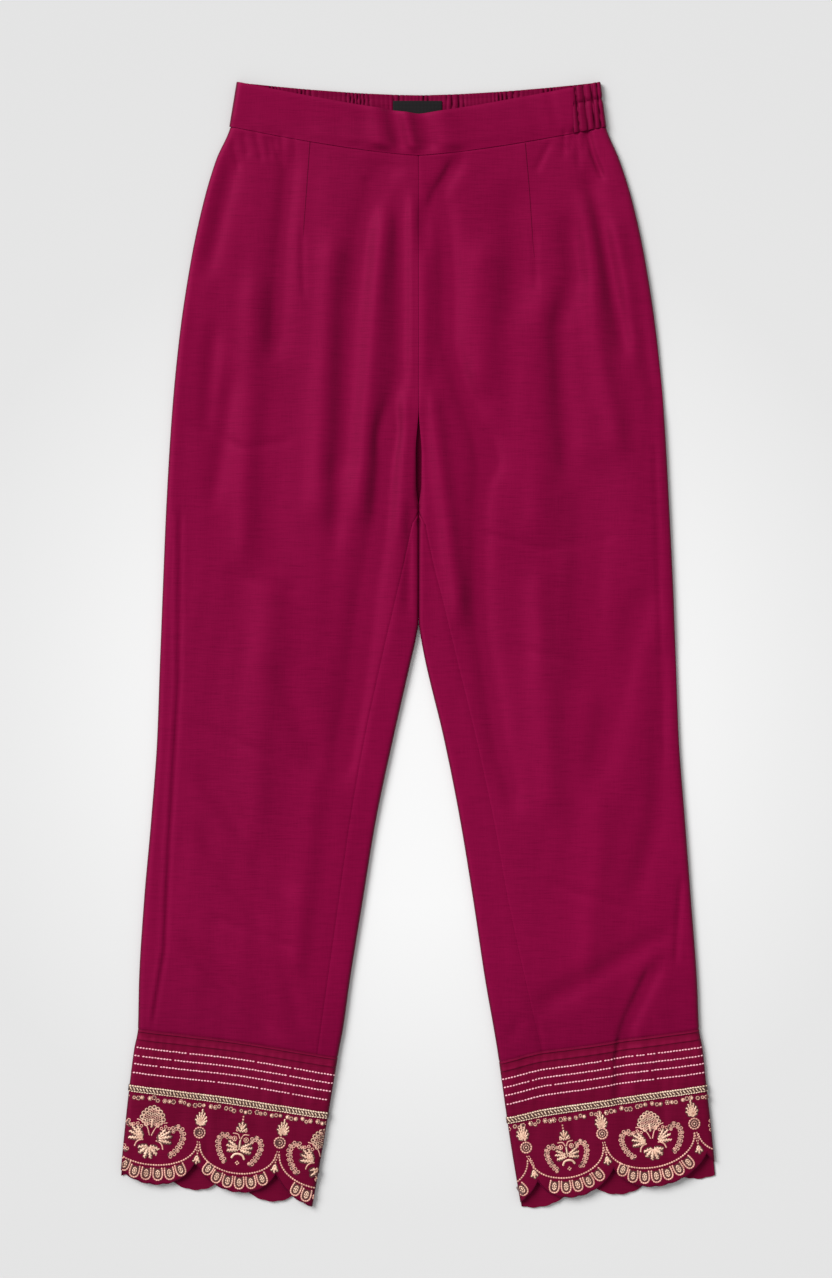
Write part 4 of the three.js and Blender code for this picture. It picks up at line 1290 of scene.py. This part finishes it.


# Rounded petals that hang below an arc, each with an oval inside, on a dark underlay that is partly darker
# ground and partly painted shade.
def addPetals(work, name, path, count):
    steps = np.gradient(path, axis=0)
    normals = np.stack([-steps[:, 1], steps[:, 0]], axis=1) / np.hypot(*steps.T)[:, None]
    below = path + normals * petal["offset"]
    lengths = runLengths(*below.T)
    for i in range(count):
        at = lengths[-1] / 2 + (i - (count - 1) / 2) * petal["pitch"]
        x, y = (float(np.interp(at, lengths, below[:, k])) for k in range(2))
        aheadX, aheadY = (float(np.interp(at + 1, lengths, below[:, k])) for k in range(2))
        turn = math.atan2(aheadY - y, aheadX - x)
        along = np.array([math.cos(turn), math.sin(turn)])
        out = np.array([-along[1], along[0]])
        middle = np.array([x, y])
        foot = middle + out * petal["low"]
        beyond = foot[1] + 1.0 - float(scallopDepth(name, "front")(hemPlace(name, *foot)[0]))
        if beyond > 5:
            continue
        middle = middle - out * max(beyond, 0) * 0.8
        shape = [*[(-p, q) for p, q in petal["side"]], (0, petal["low"]), *petal["side"][::-1]]
        edge = smoothPath([middle + along * p + out * q for p, q in shape], 6)
        work["rose"] += lineOfStitches(edge, 1.75, 2.35, 1.45)
        for t in np.linspace(0, 2 * math.pi, 9)[:-1]:
            spot = middle + along * 1.5 * math.cos(t) + out * 2.8 * math.sin(t)
            work["gold"].append((*spot, turn + t + math.pi / 2, 1.9, 1.15))
        work["gold"].append((*middle, turn + math.pi / 2, 3.2, 1.2))
        for offset in (-2.3, 0.0, 2.3):
            work["under"].append((*(middle + along * offset), turn + math.pi / 2, 9.6, 3.4))


# The plan of each front hem band in u and v: motifs with their scale, pendants (leaf, ring and bud), and
# arcs (start, end, height of their ends, lowest depth and number of petals).
embroidery = {
    "right": {
        "large": [(24, 39.6, 1.0), (174, 39, 1.0)], "small": [(102, 37.9, 0.94)],
        "pendants": [((66, 18.8), (66, 32.8), (66.7, 55.6)), ((137.8, 17.4), (136.2, 31.7), (135, 53.9))],
        "arcs": [(-16, 65.8, 40, 66.5, 7), (67.6, 134.6, 40, 63.5, 6), (137.2, 214, 39, 66.5, 7)],
    },
    "left": {
        "large": [(121, 36.9, 0.92), (200, 37, 0.92)], "small": [(46.4, 37.2, 0.88)],
        "pendants": [
            ((10.9, 14.1), (12.1, 28.4), (15.4, 51.5)), ((80, 14.9), (79.3, 27.1), (80, 50.2)),
            ((159.4, 17.3), (159.7, 31.5), (160, 53.5)),
        ],
        "arcs": [
            (-55, 11.6, 37, 62, 6), (13.6, 78.4, 36.5, 60.2, 6), (81, 158.6, 36.5, 63.4, 7),
            (161.4, 228, 38, 62, 6),
        ],
    },
}
beads = {"pitch": 13.4, "offsets": (-3.7, 0.0, 3.5), "v": 9.6}
braidWork = {"pitch": 2.9, "lean": 0.95, "cordPitch": 2.2}


# Running stitches in four rows, with a few longer gaps.
def runningStitches(random):
    rows = []
    for run in hem["runs"]:
        u = -8.0
        while u < 206:
            u += random.uniform(2.45, 2.75) + (1.8 if random.random() < 0.035 else 0)
            v = run + 0.25 * math.sin(u / 23) + random.uniform(-0.12, 0.12)
            rows.append((u, v, random.uniform(-0.12, 0.12), random.uniform(2.0, 2.4), 1.3, 0.1))
    return rows


# Loops of thread with bright beads, in clusters under the braid.
def addBeads(work, random):
    for u in np.arange(-4.0, 204.0, beads["pitch"]):
        for offset in beads["offsets"]:
            x = u + offset + random.uniform(-0.4, 0.4)
            y = beads["v"] + random.uniform(-1.1, 1.1)
            work["rose"] += ringOfStitches(x, y, random.uniform(1.0, 1.7), 6, 1.5, 0.8)
            work["under"].append((x, y, random.uniform(0, 3), 4.6, 4.0))
            if random.random() < 0.5:
                size = random.uniform(1.5, 2.5)
                beside = x + random.uniform(-0.7, 0.7)
                work["gold"].append((beside, y, random.uniform(0, 3), size, size, 0.35))


# Threads of the braid: slanted strands between a cord along each edge.
def braidThreads(random):
    rows = []
    for u in np.arange(-10.0, 206.0, braidWork["pitch"]):
        lean = braidWork["lean"] + random.uniform(-0.22, 0.22)
        rows.append((u + random.uniform(-0.3, 0.3), 3.1, lean, random.uniform(3.0, 3.8), 0.95, 0.75))
    for u in np.arange(-10.0, 206.0, braidWork["cordPitch"]):
        rows.append((u, 0.75 + random.uniform(-0.15, 0.15), 0.2, 2.1, random.uniform(1.1, 1.6), 0.8))
        rows.append((u, 5.2 + random.uniform(-0.12, 0.12), -0.2, 2.0, random.uniform(0.7, 1.05), 0.75))
    return rows


# Dark overcast stitches along the scalloped edge.
def edgeStitches(name):
    place = hem[name]
    xs = sideSign[name] * np.linspace(80, 262, 900)[:: sideSign[name]]
    ys = hemLine(name, scallopDepth(name, "front", 1.0))(xs)
    c, s = place["cos"], place["sin"]
    along = (xs - place["x"]) * c + (ys - place["y"]) * s
    below = (xs - place["x"]) * s - (ys - place["y"]) * c
    return lineOfStitches(np.stack([along, below - 0.5], axis=1), 1.3, 1.7, 1.1, 0.5)


def addEmbroidery(name):
    plan = embroidery[name]
    random = np.random.default_rng(5 if name == "right" else 6)
    work = emptyWork()
    for spot in plan["large"]:
        placeMotif(work, largePalmette(), *spot)
    for spot in plan["small"]:
        placeMotif(work, smallPalmette(), *spot)
    for parts in plan["pendants"]:
        addPendant(work, *parts)
    for start, end, high, low, count in plan["arcs"]:
        path = arcPath(start, end, high, low)
        work["rose"] += lineOfStitches(path, 2.2, 2.05, 1.45, 0.12)
        addPetals(work, name, path, count)
    addBeads(work, random)
    return [
        addStitches(f"motifs_{name}", name, work["gold"], goldThread),
        addStitches(f"stitches_{name}", name, work["rose"], roseThread),
        # The dark underlay: partly darker ground, partly painted shade.
        addStitches(f"ground_{name}", name, work["under"], underlayAndShade, 0.05),
        addStitches(f"runs_{name}", name, runningStitches(random), pinkThread),
        addStitches(f"braid_{name}_threads", name, braidThreads(random), cordThread, 0.45),
        addStitches(f"edge_{name}", name, edgeStitches(name), seamThreadAndShade),
    ]


# A dart's stitched line: a narrow welt that follows the cloth, in a dark silk that paints the shade along it.
darts = {
    "right": [(-94.4, 436.6), (-97.4, 395), (-100.3, 354), (-101.2, 326)],
    "left": [(92.7, 435.7), (96.6, 392), (99.6, 348), (101.4, 333)],
}


def addDart(name):
    path = smoothPath(darts[name], 20)
    rows = []
    for share, (x, y) in zip(np.linspace(0, 1, len(path)), path):
        width = mix(0.42, 0.16, share)
        px = x + width * np.array([-1, -0.5, 0, 0.5, 1])
        py = np.full_like(px, y)
        base = readGrid(frontGrid, px, py)
        crown = mix(0.22, 0.06, share) * np.array([0, 0.75, 1, 0.75, 0])
        rows.append([np.stack([px, py, z], axis=1) for z in (base + crown, base - 0.15)])
    return addWall(f"dart_{name}", rows, seamThreadAndShade)


labelCut = {
    "width": 42.6, "height": 22.0, "top": 472.8, "middleX": -0.9, "bottomZ": 3.05, "wall": 0.9, "round": 0.6,
}


# A bare woven label, slightly bowed, with folded-under ends.
def addLabel():
    xs = labelCut["middleX"] + labelCut["width"] * (spacedShares(40, 3, 0.02) - 0.5)
    rows = []
    for y in labelCut["top"] - labelCut["height"] * spacedShares(22, 3, 0.03):
        edge = np.minimum(xs - xs[0], xs[-1] - xs)
        rim = min(labelCut["top"] - y, y - labelCut["top"] + labelCut["height"])
        soft = labelCut["round"] * (np.exp(-edge / 0.6) + math.exp(-rim / 0.5)) * 0.5
        bow = 0.25 * np.cos((xs - labelCut["middleX"]) / 9) + 0.08 * math.sin(y / 3)
        top = labelCut["bottomZ"] + labelCut["wall"] - soft + bow
        bottom = np.full_like(xs, labelCut["bottomZ"])
        rows.append([np.stack([xs, np.full_like(xs, y), z], axis=1) for z in (top, bottom)])
    return addWall("label_bare", rows, labelWeave)


# The pieces that take a solid's place, with the node's name.
legParts = {
    "front": (frontPanel, "front"), "back": (backPanel, "back"), "hemFront": (hemFront, "hem_front"),
    "hemBack": (hemBack, "hem_back"), "braid": (braidBase, "braid"),
}
waistParts = {
    "band": (frontBand, "waistband_front"), "casing": (backCasing, "waistband_back"),
    "label": (addLabel, "label"),
}
pieces = {}
for name in ("right", "left"):
    for part, (make, node) in legParts.items():
        pieces[part, name] = make(name)
        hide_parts(f"{node}_{name}")
    pieces["trim", name] = addEmbroidery(name)
    pieces["dart", name] = addDart(name)
    print("leg made:", name)
pieces["allowance"] = addAllowance()
for part, (make, node) in waistParts.items():
    pieces[part] = make()
    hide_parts(node)
print("waist made")


for name in ("right", "left"):
    sewnOn = [pieces["dart", name]] + ([pieces["allowance"]] if name == "right" else [])

# The floor: pale, with a painted pool of light, a little brighter under the garment than towards the corners.
floorWithPaintedPool = {"size": 6.0, "drop": 0.0004, "centre": (-0.002, -0.048), "bright": 0.86}


def addFloor():
    half = floorWithPaintedPool["size"] / 2
    mesh = bpy.data.meshes.new("floor")
    corners = [(-half, -half), (half, -half), (half, half), (-half, half)]
    mesh.from_pydata([(x, y, -floorWithPaintedPool["drop"]) for x, y in corners], [], [(0, 1, 2, 3)])
    floor = addObject("floor", mesh)
    material = newMaterial("floor_paper_painted_light_pool")
    where = Wire.node("TexCoord", {}, {}, output="Object")
    centre = (*floorWithPaintedPool["centre"], 0)
    away = Wire.node("VectorMath", {"operation": "SUBTRACT"}, {0: where, 1: centre})
    far = Wire.node("VectorMath", {"operation": "LENGTH"}, {0: away}, output="Value")
    bright = floorWithPaintedPool["bright"]
    # Painted pool of light: the floor's colour fades from the centre outwards.
    stops = [(0.0, 1.0), (0.18, 0.985), (0.33, 0.885), (0.44, 0.825), (0.6, 0.81), (1.0, 0.79)]
    shades = [(at, (bright * shade,) * 3) for at, shade in stops]
    colour = Wire.node("ValToRGB", {"stops": shades}, {"Fac": far})
    finishMaterial({"Base Color": colour, "Roughness": 0.9, "Specular IOR Level": 0.1})
    mesh.materials.append(material)


def aimAt(thing, target):
    thing.rotation_euler = (Vector(target) - thing.location).to_track_quat("-Z", "Y").to_euler()


# One large soft source far away at the upper left, and even light from all round.
studio = {"from": (-1.9, 1.5, 2.0), "spread": math.radians(34), "strength": 3.3, "around": 0.45}


def addLights():
    world = bpy.data.worlds.new("studio")
    bpy.context.scene.world = world
    world.use_nodes = True
    background = world.node_tree.nodes["Background"]
    background.inputs["Color"].default_value = (1.0, 1.0, 1.0, 1)
    background.inputs["Strength"].default_value = studio["around"]
    lamp = bpy.data.lights.new("key", "SUN")
    lamp.angle = studio["spread"]
    lamp.energy = studio["strength"]
    holder = addObject("key", lamp)
    holder.location = studio["from"]
    aimAt(holder, (0, 0, 0))


view = {"lens": 85.0, "sensor": 36.0, "imageHeight": 1.1119, "target": (-2.2, 4.8), "clothZ": 0.0025}


def addCamera():
    camera = bpy.data.cameras.new("camera")
    camera.lens = view["lens"]
    camera.sensor_width = view["sensor"]
    holder = addObject("camera", camera)
    x, y, _ = toFrame([(*view["target"], 0)])[0]
    holder.location = (x, y, view["imageHeight"] * view["lens"] / view["sensor"] + view["clothZ"])
    bpy.context.scene.camera = holder


addFloor()
addLights()
addCamera()
bpy.context.scene.view_settings.view_transform = "Standard"
print("studio made")
